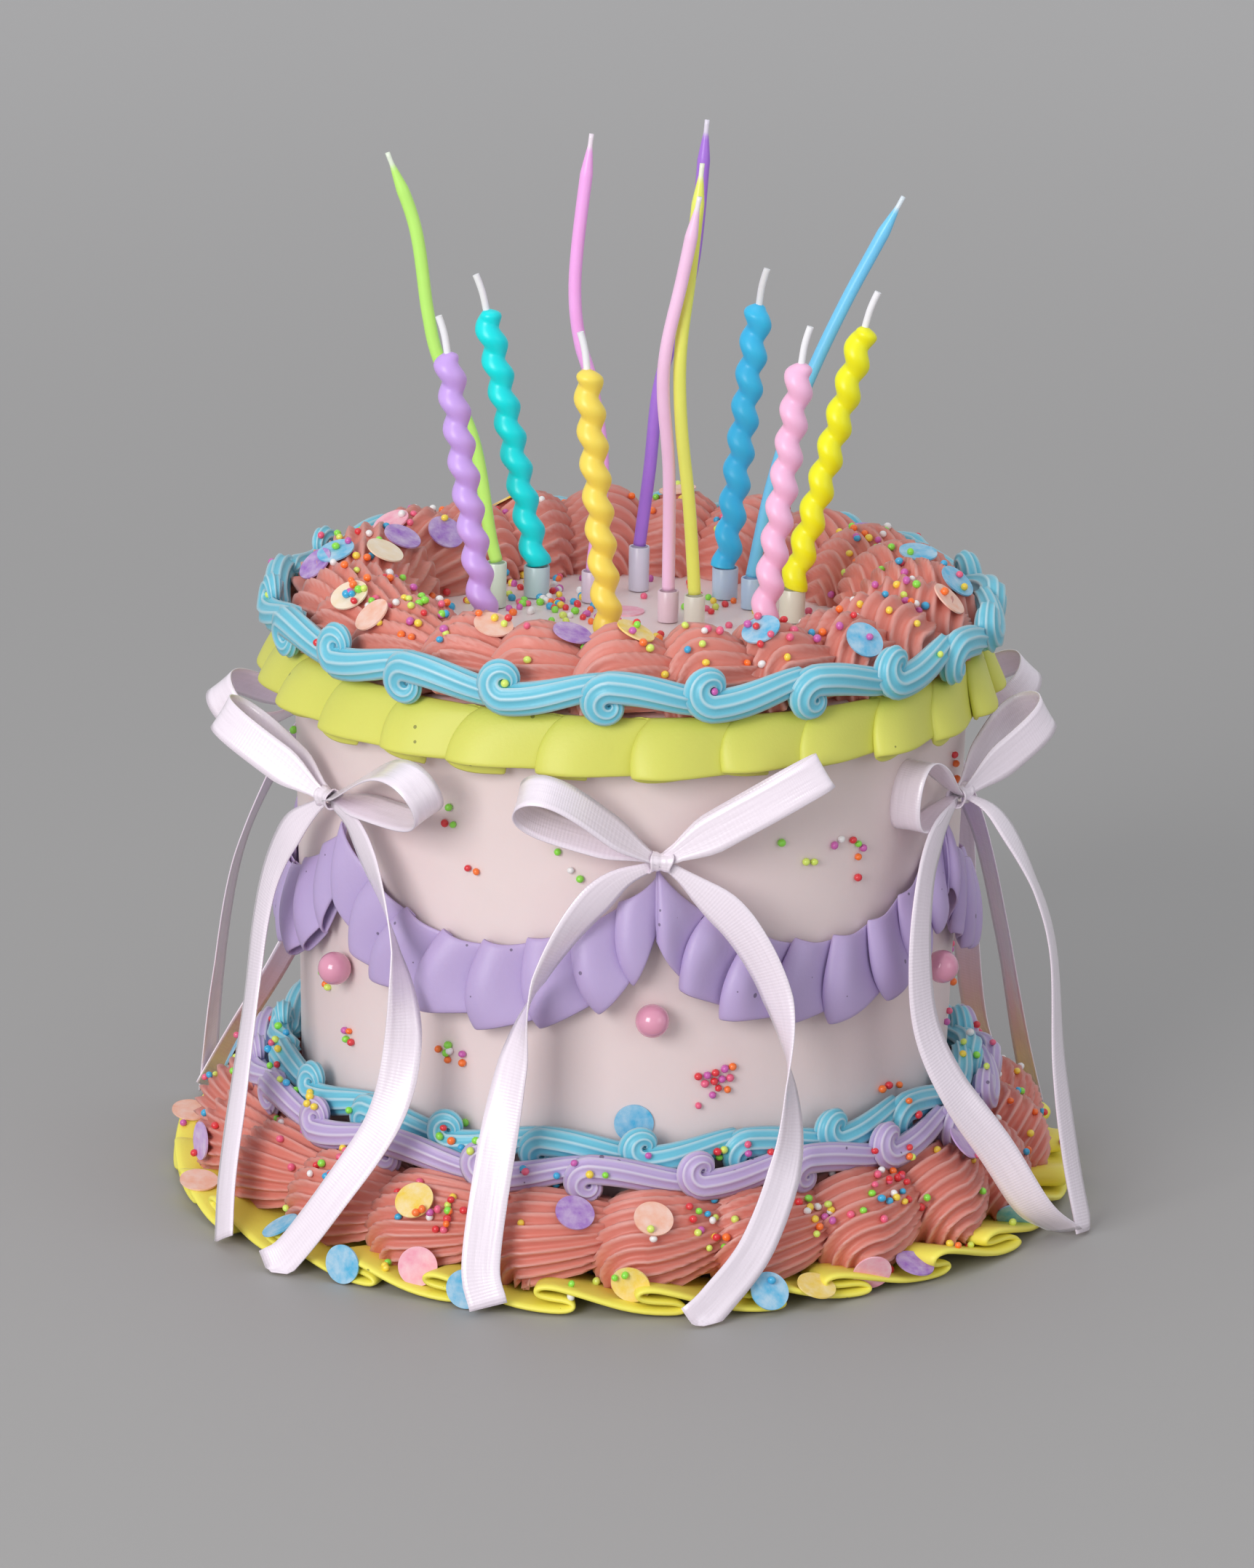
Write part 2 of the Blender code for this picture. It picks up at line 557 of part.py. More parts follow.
def main():
    cake, helpers = clear_scene()
    make_body(cake, helpers)
    make_top_ruffle(cake)
    top_shells = make_top_shells(cake)
    base_shells = make_base_shells(cake)
    base_ruffle = make_base_ruffle(cake)
    scatter_discs(top_shells, helpers, [(azimuth, 110, 200, 42) for azimuth in
                                        (-66, -20, 42, 110, 160, -120)])
    scatter_discs(base_shells, helpers, [(azimuth, 150, 40, 35) for azimuth in
                                         (-34, -12, 3, 85, -150)])
    scatter_discs(base_ruffle, helpers, [(azimuth, 128.5, 30, 90) for azimuth in
                                         (-48, -27, 30, 145, -98)])
    make_scroll(cake, "blue_scroll_top", BLUE_ICING, 12.9, 101.2, 167.6, 2.8, 3.3, 0.6)
    make_scroll(cake, "blue_scroll_base", BLUE_ICING, 4.0, 97.9, 36.0, 1.8, 3.2, 0.12)
    make_scroll(cake, "lavender_scroll_base", LAVENDER_ICING, 12.0, 105.8, 31.0, 2.6, 2.9, 0.18)
    for index, (name, bow) in enumerate(BOWS.items()):
        azimuth = BOW_FIRST + index * BOW_STEP
        make_bow(cake, helpers, name, azimuth, *bow)
        make_pearl(cake, name, azimuth)
        make_swag(cake, index + 1, azimuth)
    for name, (foot, top, holder_height, colour) in SPIRAL_CANDLES.items():
        make_spiral_candle(cake, name, foot, top, holder_height, colour)
    for name, (foot, route, holder_height, colour) in THIN_CANDLES.items():
        make_thin_candle(cake, name, foot, route, holder_height, colour)


main()
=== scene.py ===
"""Looks of the round party cake: piped borders, swags, satin bows, candles and sprinkles.

Metres, +Z up, origin at the middle of the cake's underside, front towards -Y.
Lists of places are in millimetres and degrees. Azimuths are positive to the right of the front.
"""

import json
import math
import random

import bmesh
import bpy
import numpy as np
from bpy.props import FloatProperty, FloatVectorProperty, IntProperty, PointerProperty
from mathutils import Matrix, Vector
from mathutils.bvhtree import BVHTree

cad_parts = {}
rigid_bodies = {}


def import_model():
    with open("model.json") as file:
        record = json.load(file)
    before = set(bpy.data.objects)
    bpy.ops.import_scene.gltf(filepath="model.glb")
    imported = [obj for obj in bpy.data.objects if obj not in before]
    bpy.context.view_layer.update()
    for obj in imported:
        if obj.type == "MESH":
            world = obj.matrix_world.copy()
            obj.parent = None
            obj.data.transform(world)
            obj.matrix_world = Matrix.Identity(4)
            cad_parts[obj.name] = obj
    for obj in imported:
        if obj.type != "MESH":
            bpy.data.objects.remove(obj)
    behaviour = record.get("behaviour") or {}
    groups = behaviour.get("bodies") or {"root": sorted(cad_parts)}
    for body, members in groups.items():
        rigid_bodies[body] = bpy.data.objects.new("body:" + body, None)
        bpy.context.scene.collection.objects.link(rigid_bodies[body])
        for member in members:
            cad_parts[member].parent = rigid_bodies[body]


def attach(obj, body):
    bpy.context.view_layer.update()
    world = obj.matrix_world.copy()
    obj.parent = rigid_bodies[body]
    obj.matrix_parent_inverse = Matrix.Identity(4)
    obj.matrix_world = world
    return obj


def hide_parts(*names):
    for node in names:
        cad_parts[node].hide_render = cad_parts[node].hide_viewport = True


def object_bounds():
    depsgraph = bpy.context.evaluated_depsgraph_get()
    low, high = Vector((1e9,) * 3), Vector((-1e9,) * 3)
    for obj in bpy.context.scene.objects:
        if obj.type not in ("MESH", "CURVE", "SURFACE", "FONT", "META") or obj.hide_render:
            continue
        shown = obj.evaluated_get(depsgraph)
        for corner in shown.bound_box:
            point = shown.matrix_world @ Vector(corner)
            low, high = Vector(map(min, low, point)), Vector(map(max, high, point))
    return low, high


bl_info = {
    "name": "Sprinkle cake",
    "version": (1, 0, 0),
    "blender": (4, 5, 0),
    "location": "3D View > Sidebar > Cake",
    "description": "Builds the icing, ribbons, candles and toppings of a round party cake",
    "category": "Object",
}

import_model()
CAD_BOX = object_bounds()

MM = 0.001
BODY = "root"
# How near white the crests of the ropes are painted, as a painted highlight.
CREST_HIGHLIGHT = 0.45
# The foot frill's yellow is made warmer, and brighter as painted light for the dimmer light at the foot.
LOWER_WARMTH_AND_PAINTED_LIGHT = (1.35, 1.22, 0.98)

# Ribbon routes, each point as (along the wall, out from the cake's axis, height).
FRONT_LEFT_TAIL = [(-2, 102, 121), (-13, 103, 116), (-25, 104.5, 103), (-35, 106, 85), (-40, 108, 66),
                   (-45, 114, 40), (-49, 124, 14), (-47, 128, 3)]
FRONT_RIGHT_TAIL = [(2, 102, 121), (10, 103, 115), (22, 104.5, 104), (32, 105.5, 86), (36, 108, 66),
                    (36, 114, 42), (27, 126, 20), (15, 135, 7), (8, 139, 1.5)]
LEFT_LEFT_TAIL = [(-2, 102, 125), (-14, 105, 114), (-23, 106, 100), (-26, 108, 84), (-24, 112, 64),
                  (-16, 121, 40), (-6, 131, 18), (2, 137, 3)]
LEFT_RIGHT_TAIL = [(2, 102, 125), (15, 103, 121), (30, 103.5, 105), (40, 104, 86), (45, 106, 66),
                   (45, 112, 46), (38, 124, 24), (29, 133, 6), (24, 137, 1)]
RIGHT_LEFT_TAIL = [(-2, 102, 125), (-17, 103, 119), (-26, 103.5, 108), (-32, 105, 88), (-33, 108, 68),
                   (-29, 115, 50), (-19, 125, 30), (-10, 133, 12), (3, 138, 2)]
RIGHT_RIGHT_TAIL = [(2, 102, 126), (3, 112, 121), (7, 122, 103), (10, 128, 82), (10, 131, 49),
                    (10, 136, 20), (7, 142, 1)]
BACK_LEFT_TAIL = [(-2, 102, 125), (-12, 104, 114), (-23, 109, 92), (-24, 118, 60), (-20, 130, 22),
                  (-18, 137, 2)]
BACK_RIGHT_TAIL = [(2, 102, 125), (6, 109, 111), (5, 124, 78), (1, 133, 38), (-2, 138, 2)]

# Each bow as knot height, its two tails and its two loops. A loop is its length, its rise and its
# swing out from the wall in degrees, how wide it stands open, and how far it is rolled in degrees.
BOWS = {
    "front": (122.0, FRONT_LEFT_TAIL, FRONT_RIGHT_TAIL, (44, 27, 4, 8, 50), (52, 32, 6, 3.4, 10)),
    "right": (126.0, RIGHT_LEFT_TAIL, RIGHT_RIGHT_TAIL, (27, 12, -12, 10.5, 90), (40, 30, 14, 7, 20)),
    "back_right": (125.0, BACK_LEFT_TAIL, RIGHT_RIGHT_TAIL, (42, 22, 18, 8, 50), (40, 26, 10, 7, 20)),
    "back": (124.0, FRONT_LEFT_TAIL, FRONT_RIGHT_TAIL, (44, 24, 6, 7, 45), (44, 24, 6, 7, 30)),
    "back_left": (125.0, LEFT_LEFT_TAIL, BACK_RIGHT_TAIL, (42, 22, 10, 8, 40), (42, 14, 12, 8, 50)),
    "left": (126.0, LEFT_LEFT_TAIL, LEFT_RIGHT_TAIL, (44, 24, 13, 6, 25), (54, 15, 3, 9, 66)),
}
BOW_FIRST = 5.0
BOW_STEP = 60.0
KNOT_RADIUS = 102.2
RIBBON_ROOM = 1.0
PEARL_HEIGHT = 75.5

# Spiral candles as foot (x, y), top of the wax (x, z), holder height and colour.
SPIRAL_CANDLES = {
    "lavender": ((-41.5, -28.0), (-53.0, 245.0), 9.0, (206, 168, 240)),
    "teal": ((-28.0, 35.0), (-43.7, 243.8), 9.0, (0, 232, 236)),
    "orange": ((-6.5, -45.5), (-14.0, 245.0), 9.0, (255, 222, 92)),
    "blue": ((26.5, 37.5), (34.4, 246.5), 9.0, (62, 200, 255)),
    "pink": ((36.5, -32.5), (45.4, 245.0), 9.0, (255, 192, 226)),
    "yellow": ((45.5, 12.0), (64.1, 246.0), 9.5, (248, 246, 22)),
}

# How far the tip of a slim candle has moved back (+) or to the front (-) from its foot.
SLIM_LEANS = {"rose": -7.0, "lime": 6.0}

# Thin candles as foot (x, y), route up from the holder (x, z), holder height and colour.
THIN_CANDLES = {
    "green": ((-39.5, 22.0), [(-41.5, 183), (-46.5, 210), (-56.5, 233), (-60, 247), (-64, 272),
                              (-72.0, 293)], 13.0, (192, 248, 120)),
    "magenta": ((-12.0, 30.0), [(-9.5, 200), (-13, 225), (-16.5, 237), (-18.3, 250), (-17.8, 266),
                                (-14.4, 298)], 9.0, (255, 176, 244)),
    "purple": ((1.5, 44.5), [(4, 197), (6, 220), (10.5, 239), (15.5, 260), (18.4, 300)], 13.0,
               (172, 120, 222)),
    "rose": ((10.0, 9.0), [(9.5, 205), (7.4, 228), (8, 242), (12, 262), (16.4, 286)], 9.0,
             (255, 205, 238)),
    "lime": ((17.5, 4.0), [(15.3, 197), (12.6, 220), (12, 240), (14.3, 263), (17, 294)], 9.0,
             (236, 242, 112)),
    "sky": ((34.0, 26.0), [(39, 197), (45, 218), (51, 234), (59, 252), (66.5, 267), (74.4, 282.5)],
            9.0, (120, 205, 252)),
}

# The widest and the narrowest radius of a twisted candle and the height of its rounded shoulder, the
# radius of a slim one, the radii of their cups, and the gap under a cup.
TWISTED_RADII = (4.35, 2.6)
SHOULDER = 3.2
SLIM_RADIUS = 1.85
CUP_RADII = (3.8, 3.05)
CUP_LIFT = 0.3

CUP_TINTS = {
    "lavender": (214, 214, 224), "teal": (190, 218, 222), "orange": (222, 214, 206),
    "blue": (190, 214, 238), "pink": (224, 208, 216), "yellow": (218, 216, 198),
    "green": (204, 222, 204), "magenta": (222, 204, 222), "purple": (212, 208, 226),
    "rose": (228, 200, 212), "lime": (226, 224, 210), "sky": (180, 208, 238),
}

# Sprinkles seen stuck to the wall, as azimuth, height and colour name.
WALL_SPRINKLES = [
    (-31, 130.8, "green"), (-31.8, 126, "red"), (-30.2, 126, "green"), (-27.4, 114.2, "red"),
    (-25.8, 113.6, "orange"), (-11.6, 122, "green"), (-9.4, 117, "white"), (-7.8, 114.7, "green"),
    (26, 123.7, "green"), (30.8, 117.2, "lime"), (32.4, 116.8, "lime"), (36.4, 120.6, "magenta"),
    (37.8, 122, "white"), (40.4, 121, "red"), (41.7, 119.5, "green"), (42.8, 118, "magenta"),
    (41.8, 115.7, "orange"), (41.9, 109.7, "red"), (-56.6, 56, "magenta"), (-55.2, 56.4, "orange"),
    (-56.2, 53.6, "green"), (-54.6, 53.4, "red"), (-33.2, 59.8, "orange"), (-31.2, 61.6, "green"),
    (-31.6, 59.2, "green"), (-30.9, 60, "white"), (-31.3, 57.2, "orange"), (-28.4, 59.8, "magenta"),
    (-28.4, 57.2, "orange"), (12.6, 57.6, "red"), (14.2, 57.8, "magenta"), (15.6, 58.4, "red"),
    (17.2, 59.4, "magenta"), (18.6, 59.8, "orange"), (13.8, 55.4, "pink"), (15.4, 55.9, "red"),
    (16.8, 56.4, "magenta"), (18.2, 56.6, "pink"), (16.2, 53.8, "red"), (17.8, 53.2, "orange"),
    (15.2, 51.9, "magenta"), (12.8, 49, "pink"), (50.6, 44.4, "orange"), (52.4, 44.8, "red"),
    (55.8, 43.5, "orange"), (51.6, 41.8, "orange"), (53, 38.6, "red"), (87, 91, "blue"),
    (-64.9, 69.3, "green"), (-63.6, 66.4, "orange"), (-62.6, 66, "lime"), (-61.4, 69, "lime"),
    (-84, 132, "green"), (-86, 126, "yellow"), (-86.5, 124, "blue"), (-86, 121.5, "yellow"),
    (72, 134, "red"), (73, 131, "orange"), (74, 126, "orange"),
]

SPRINKLE_COLOURS = {
    "red": (226, 34, 48), "orange": (255, 116, 20), "green": (138, 226, 60), "lime": (216, 236, 100),
    "yellow": (246, 215, 60), "blue": (40, 170, 220), "pink": (236, 92, 130),
    "magenta": (205, 90, 175), "white": (238, 236, 236),
}

WAFER_COLOURS = {
    "peach": (240, 178, 150), "blue": (80, 178, 220), "yellow": (240, 205, 60),
    "purple": (150, 95, 190), "lavender": (190, 150, 215), "pink": (238, 150, 175),
    "cream": (238, 215, 180),
}


def linear(red, green, blue):
    """A screen colour, 0 to 255, as the linear values that shaders take."""
    shares = []
    for value in (red, green, blue):
        share = value / 255.0
        shares.append(share / 12.92 if share <= 0.04045 else ((share + 0.055) / 1.055) ** 2.4)
    return tuple(shares)


def length(name, description, metres):
    return FloatProperty(name=name, description=description, default=metres, unit="LENGTH")


def number(name, description, value, least, most):
    return IntProperty(name=name, description=description, default=value, min=least, max=most)


def paint(name, description, red, green, blue):
    return FloatVectorProperty(name=name, description=description, subtype="COLOR",
                               default=linear(red, green, blue))


class CakeSizes(bpy.types.PropertyGroup):
    """Sizes of the cake and its piping."""

    wall_foot: length("Wall at the foot", "Radius of the iced wall where it stands", 0.0924)
    wall_top: length("Wall at the top", "Radius of the iced wall under the border", 0.0962)
    wall_height: length("Wall height", "Height of the iced top", 0.161)
    shells_top: number("Top shells", "Number of coral shells round the top", 23, 12, 40)
    shells_base: number("Base shells", "Number of coral shells round the foot", 22, 12, 40)
    shell_ridges: number("Shell ridges", "Ridges that the star tip leaves on a shell", 14, 5, 20)
    ridge_depth: length("Ridge depth", "Depth of the grooves in a shell", 0.0030)
    scroll_curls: number("Scroll curls", "Curls in each scrolled rope", 22, 8, 40)
    frill_pleats: number("Frill pleats", "Pleats in the yellow frill at the top", 26, 12, 48)
    base_folds: number("Base folds", "Folds in the yellow frill at the foot", 28, 12, 48)
    swag_pleats: number("Swag pleats", "Pleats in one lavender swag", 8, 4, 16)
    ribbon_width: length("Ribbon width", "Width of the satin ribbon", 0.0106)
    pearl_radius: length("Pearl radius", "Radius of the pearls on the wall", 0.0047)
    sprinkle_radius: length("Sprinkle radius", "Radius of the small round sprinkles", 0.00118)
    wafer_radius: length("Wafer radius", "Radius of the thin wafer discs", 0.0055)


class CakeColours(bpy.types.PropertyGroup):
    """Colours of the icing and the ribbon."""

    wall: paint("Wall icing", "Colour of the smooth icing", 233, 215, 214)
    frill: paint("Yellow icing", "Colour of both frills", 215, 214, 98)
    coral: paint("Coral icing", "Colour of the shells", 213, 128, 114)
    blue: paint("Blue icing", "Colour of the blue ropes", 108, 192, 214)
    lavender: paint("Lavender icing", "Colour of the swags and the lower rope", 186, 166, 210)
    satin: paint("Satin", "Colour of the ribbons", 248, 234, 246)
    pearl: paint("Pearl", "Colour of the pearls", 226, 154, 180)
    floor: paint("Floor", "Colour of the floor", 168, 166, 165)


def sizes():
    return bpy.context.scene.cake_sizes


def colours():
    return bpy.context.scene.cake_colours


# Places and routes


def around_cake(azimuth, radius, height):
    """Places round the cake in millimetres, from arrays or numbers."""
    azimuth, radius, height = np.broadcast_arrays(np.asarray(azimuth, float), np.asarray(radius, float),
                                                  np.asarray(height, float))
    turn = np.radians(azimuth)
    return np.stack([radius * np.sin(turn), -radius * np.cos(turn), height], axis=-1)


def beside(azimuth, places):
    """Places given as (along the wall, out from the axis, height) at one azimuth."""
    places = np.asarray(places, float)
    turn = math.radians(azimuth)
    along, out, height = places[..., 0], places[..., 1], places[..., 2]
    return np.stack([along * math.cos(turn) + out * math.sin(turn),
                     along * math.sin(turn) - out * math.cos(turn), height], axis=-1)


def wall_radius(height):
    """Radius of the iced wall at a height, in millimetres."""
    size = sizes()
    share = np.asarray(height, float) / (size.wall_height / MM)
    return (size.wall_foot + (size.wall_top - size.wall_foot) * share) / MM


def through(points, index, share):
    """Catmull-Rom places past the given ones, each at a share of the way to the next."""
    t = share[:, None]
    a, b, c, d = points[index - 1], points[index], points[index + 1], points[index + 2]
    return 0.5 * (2 * b + (c - a) * t + (2 * a - 5 * b + 4 * c - d) * t ** 2
                  + (3 * b - a - 3 * c + d) * t ** 3)


def smooth_route(points, steps):
    """Places along a Catmull-Rom curve through the given ones, evenly far apart."""
    points = np.asarray(points, float)
    ends = np.vstack([points[0] * 2 - points[1], points, points[-1] * 2 - points[-2]])
    spans = len(points) - 1
    fine = np.linspace(0, spans - 1e-6, spans * 24)
    index = fine.astype(int)
    route = through(ends, index + 1, fine - index)
    gone = np.concatenate([[0], np.cumsum(np.linalg.norm(np.diff(route, axis=0), axis=1))])
    even = np.linspace(0, gone[-1], steps)
    return np.stack([np.interp(even, gone, route[:, axis]) for axis in range(3)], axis=-1)


def directions(route):
    """Unit directions along a route."""
    ahead = np.gradient(route, axis=0)
    return ahead / np.linalg.norm(ahead, axis=1)[:, None]


def turned(vectors, axes, degrees):
    """Vectors turned about unit axes."""
    angle = np.radians(np.broadcast_to(degrees, len(vectors)))[:, None]
    along = np.sum(vectors * axes, axis=1)[:, None] * axes
    return along + (vectors - along) * np.cos(angle) + np.cross(axes, vectors) * np.sin(angle)


def unit(vectors):
    return vectors / np.linalg.norm(vectors, axis=-1)[..., None]


def ease(share):
    share = np.clip(share, 0.0, 1.0)
    return share * share * (3 - 2 * share)


# Meshes


def skin(bm, places, uv_size=None, crest=None):
    """Lay a grid over rows of places given in millimetres, and mark how near each is to a ridge."""
    rows, columns = places.shape[:2]
    made = bmesh.ops.create_grid(bm, x_segments=columns - 1, y_segments=rows - 1, size=1.0,
                                 calc_uvs=uv_size is not None)
    for vert, place in zip(made["verts"], (places.reshape(-1, 3) * MM).tolist()):
        vert.co = place
    if uv_size is not None:
        layer = bm.loops.layers.uv.active
        for vert in made["verts"]:
            for loop in vert.link_loops:
                loop[layer].uv = (loop[layer].uv[0] * uv_size[0], loop[layer].uv[1] * uv_size[1])
    if crest is not None:
        layer = bm.verts.layers.float["crest"]
        for vert, value in zip(made["verts"], np.broadcast_to(crest, (rows, columns)).ravel().tolist()):
            vert[layer] = value
    return made["verts"]


def new_sheet():
    """A bmesh whose grids keep their own UV map."""
    bm = bmesh.new()
    bm.loops.layers.uv.new("UVMap")
    return bm


def new_ridged():
    """A bmesh that marks the crests of its ridges, where icing gets a painted highlight and a slim candle
    its pale tip.
    """
    bm = bmesh.new()
    bm.verts.layers.float.new("crest")
    return bm


def new_tinted():
    """A bmesh whose vertices carry a colour, and the layer that holds it."""
    bm = bmesh.new()
    return bm, bm.verts.layers.float_color.new("tint")


def dye(verts, layer, colour):
    for vert in verts:
        vert[layer] = (*linear(*colour), 1.0)


def spin_profile(bm, profile, steps):
    """Turn a profile of (radius, height), in metres, round the upright axis."""
    verts = [bm.verts.new((radius, 0.0, height)) for radius, height in profile]
    edges = [bm.edges.new(pair) for pair in zip(verts, verts[1:])]
    bmesh.ops.spin(bm, geom=verts + edges, cent=(0, 0, 0), axis=(0, 0, 1), dvec=(0, 0, 0),
                   angle=2 * math.pi, steps=steps, use_merge=True, use_duplicate=False)


def with_ends(rows, first, last):
    """The rows with one more at each end that is a single point, so that the skin is closed."""
    columns = rows.shape[1]
    ends = [np.repeat(np.asarray(place)[None, None], columns, axis=1) for place in (first, last)]
    return np.concatenate([ends[0], rows, ends[1]])


def piece(bm, name, material, nodes, closed=True, sharp=180.0):
    """Turn a bmesh into an object of the cake that stands for its CAD nodes."""
    bmesh.ops.remove_doubles(bm, verts=bm.verts, dist=2e-7)
    if closed:
        bmesh.ops.recalc_face_normals(bm, faces=bm.faces)
    mesh = bpy.data.meshes.new(name)
    bm.to_mesh(mesh)
    bm.free()
    mesh.shade_smooth()
    if sharp < 180.0:
        mesh.set_sharp_from_angle(angle=math.radians(sharp))
    mesh.materials.append(material)
    obj = linked(name, mesh)
    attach(obj, BODY)
    if nodes:
        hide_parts(*nodes)
    return obj


def thicken(obj, thickness, rounds=1):
    """Give a sheet its thickness, in millimetres, and round its rim."""
    wall = obj.modifiers.new("Thickness", "SOLIDIFY")
    wall.thickness = thickness * MM
    wall.offset = 0.0
    wall.use_even_offset = False
    if rounds:
        smooth = obj.modifiers.new("Round rim", "SUBSURF")
        smooth.levels = rounds
        smooth.render_levels = rounds


def star(around, lobes, depth):
    """Radius factors of a star tip's section, crisp ridges between round grooves, and its crests."""
    turn = np.linspace(0, 2 * np.pi, around + 1)
    groove = np.abs(np.sin(turn * lobes / 2)) ** 0.85
    # The last value marks the crests, where the material paints a highlight.
    return turn, 1.0 - depth * groove, np.clip(1.0 - groove * 2.2, 0.0, 1.0)


def sweep(bm, route, out, radii, around=40, lobes=0, depth=0.0, twist=0.0, flat=1.0, crest=None):
    """A rod or star-tipped rope along a route, its ends drawn to a point."""
    ahead = directions(route)
    out = unit(out - np.sum(out * ahead, axis=1)[:, None] * ahead)
    side = np.cross(ahead, out)
    turn, factor = np.linspace(0, 2 * np.pi, around + 1), 1.0
    if lobes:
        turn, factor, crest = star(around, lobes, depth)
    turns = turn[None, :] + np.radians(twist) * np.linspace(0, 1, len(route))[:, None]
    reach = (np.asarray(radii, float)[:, None] * factor)[..., None]
    places = route[:, None] + reach * (flat * np.cos(turns)[..., None] * out[:, None]
                                       + np.sin(turns)[..., None] * side[:, None])
    skin(bm, with_ends(places, route[0], route[-1]), crest=crest)


# Finishes


class Finish:
    """A material in the making: its nodes, and what each takes in as values or from other nodes."""

    def __init__(self, name, colour, roughness):
        self.material = bpy.data.materials.new(name)
        self.material.use_nodes = True
        self.tree = self.material.node_tree
        self.shader = self.tree.nodes["Principled BSDF"]
        self.feed(self.shader, {"Base Color": (*colour, 1.0), "Roughness": roughness})

    def feed(self, node, inputs):
        for key, value in inputs.items():
            if isinstance(value, bpy.types.NodeSocket):
                self.tree.links.new(value, node.inputs[key])
            else:
                node.inputs[key].default_value = value

    def add(self, kind, inputs, **settings):
        node = self.tree.nodes.new("ShaderNode" + kind)
        for key, value in settings.items():
            setattr(node, key, value)
        self.feed(node, inputs)
        return node

    def place(self):
        return self.add("TexCoord", {}).outputs["Object"]

    def noise(self, scale, detail, **more):
        """Clouds that lie fixed in the object."""
        inputs = {"Vector": self.place(), "Scale": scale, "Detail": detail, **more}
        return self.add("TexNoise", inputs).outputs["Fac"]

    def calculate(self, operation, first, second, third=0.0):
        return self.add("Math", {0: first, 1: second, 2: third}, operation=operation).outputs["Value"]

    def mix(self, share, first, second):
        """The second colour over the first."""
        inputs = {0: share}
        for key, colour in ((6, first), (7, second)):
            inputs[key] = colour if isinstance(colour, bpy.types.NodeSocket) else (*colour, 1.0)
        return self.add("Mix", inputs, data_type="RGBA").outputs[2]

    def clouded(self, share, colour, dark, pale):
        return self.mix(share, shade(colour, dark), shade(colour, pale))

    def crest_highlights_and_pale_tips(self, colour, strength):
        """A colour that goes near white where the piece is marked as a crest."""
        # On icing the crest mark gives a painted highlight; on a slim candle it gives the pale tip.
        crest = self.add("Attribute", {}, attribute_name="crest").outputs["Fac"]
        return self.mix(self.calculate("MULTIPLY", crest, strength), colour, (0.9, 0.9, 0.9))

    def tint(self):
        return self.add("VertexColor", {}, layer_name="tint").outputs["Color"]

    def bump(self, height, strength, distance, **more):
        invert = more.pop("invert", False)
        inputs = {"Height": height, "Strength": strength, "Distance": distance, **more}
        return self.add("Bump", inputs, invert=invert).outputs["Normal"]

    def soften(self, weight, *radius):
        """Let light pass a little way in."""
        self.feed(self.shader, {"Subsurface Weight": weight, "Subsurface Radius": radius,
                                "Subsurface Scale": 1.0})

    def coat(self, weight, roughness):
        self.feed(self.shader, {"Coat Weight": weight, "Coat Roughness": roughness})

    def done(self, colour, normal=None):
        self.feed(self.shader, {"Base Color": colour})
        if normal:
            self.feed(self.shader, {"Normal": normal})
        return self.material


def shade(colour, factor):
    return tuple(min(1.0, max(0.0, value * factor)) for value in colour)


def icing(name, colour, roughness=0.42, grain=0.00012, pits=0.0, soft=0.12, mottle=0.08, ridged=0.0):
    """Buttercream: faint mottling, fine grain, painted highlights on thin crests, here and there an air
    bubble.
    """
    finish = Finish(name, colour, roughness)
    painted = finish.clouded(finish.noise(70.0, 3.0), colour, 1.0 - mottle, 1.0 + mottle)
    normal = finish.bump(finish.noise(900.0, 4.0), 0.5, grain)
    if ridged:
        painted = finish.crest_highlights_and_pale_tips(painted, ridged)
    if pits:
        pit = bubbles(finish, pits)
        # Each bubble is also painted dark: painted shade inside the little hole.
        painted = finish.mix(pit, painted, shade(colour, 0.42))
        normal = finish.bump(pit, 0.6, 0.0004, invert=True, Normal=normal)
    if soft:
        finish.soften(soft, 0.004, 0.0025, 0.002)
    return finish.done(painted, normal)


def bubbles(finish, share):
    """A mask of small round air bubbles, of several sizes, in the given share of noise cells."""
    cells = finish.add("TexVoronoi", {"Vector": finish.place(), "Scale": 190.0})
    split = finish.add("SeparateColor", {"Color": cells.outputs["Color"]})
    reach = finish.calculate("MULTIPLY_ADD", split.outputs["Green"], 0.09, 0.045)
    inside = finish.calculate("LESS_THAN", cells.outputs["Distance"], reach)
    chosen = finish.calculate("GREATER_THAN", split.outputs["Red"], 1.0 - share)
    return finish.calculate("MULTIPLY", inside, chosen)


def satin_ribbon(name, colour):
    """Satin: a strong broken shine along it, fine ribs across, and soft streaks painted into its colour as
    sheen.
    """
    finish = Finish(name, colour, 0.3)
    place = finish.add("UVMap", {}, uv_map="UVMap").outputs["UV"]
    along = finish.add("Mapping", {"Vector": place, "Scale": (900.0, 45.0, 1.0)}).outputs["Vector"]
    streaks = finish.add("TexNoise", {"Vector": along, "Scale": 1.0, "Detail": 3.0}).outputs["Fac"]
    across = finish.add("Mapping", {"Vector": place, "Scale": (30.0, 1.0, 1.0)}).outputs["Vector"]
    ribs = finish.add("TexWave", {"Vector": across, "Scale": 340.0, "Distortion": 1.0, "Detail": 1.0},
                      bands_direction="Y").outputs["Fac"]
    normal = finish.bump(streaks, 0.5, 0.0003, Normal=finish.bump(ribs, 0.3, 0.00012))
    finish.feed(finish.shader, {"Specular IOR Level": 1.0, "Sheen Weight": 0.3, "Sheen Roughness": 0.3})
    finish.coat(0.7, 0.22)
    # The streaks make the colour paler and darker in turn: painted sheen.
    return finish.done(finish.clouded(streaks, colour, 0.9, 1.08), normal)


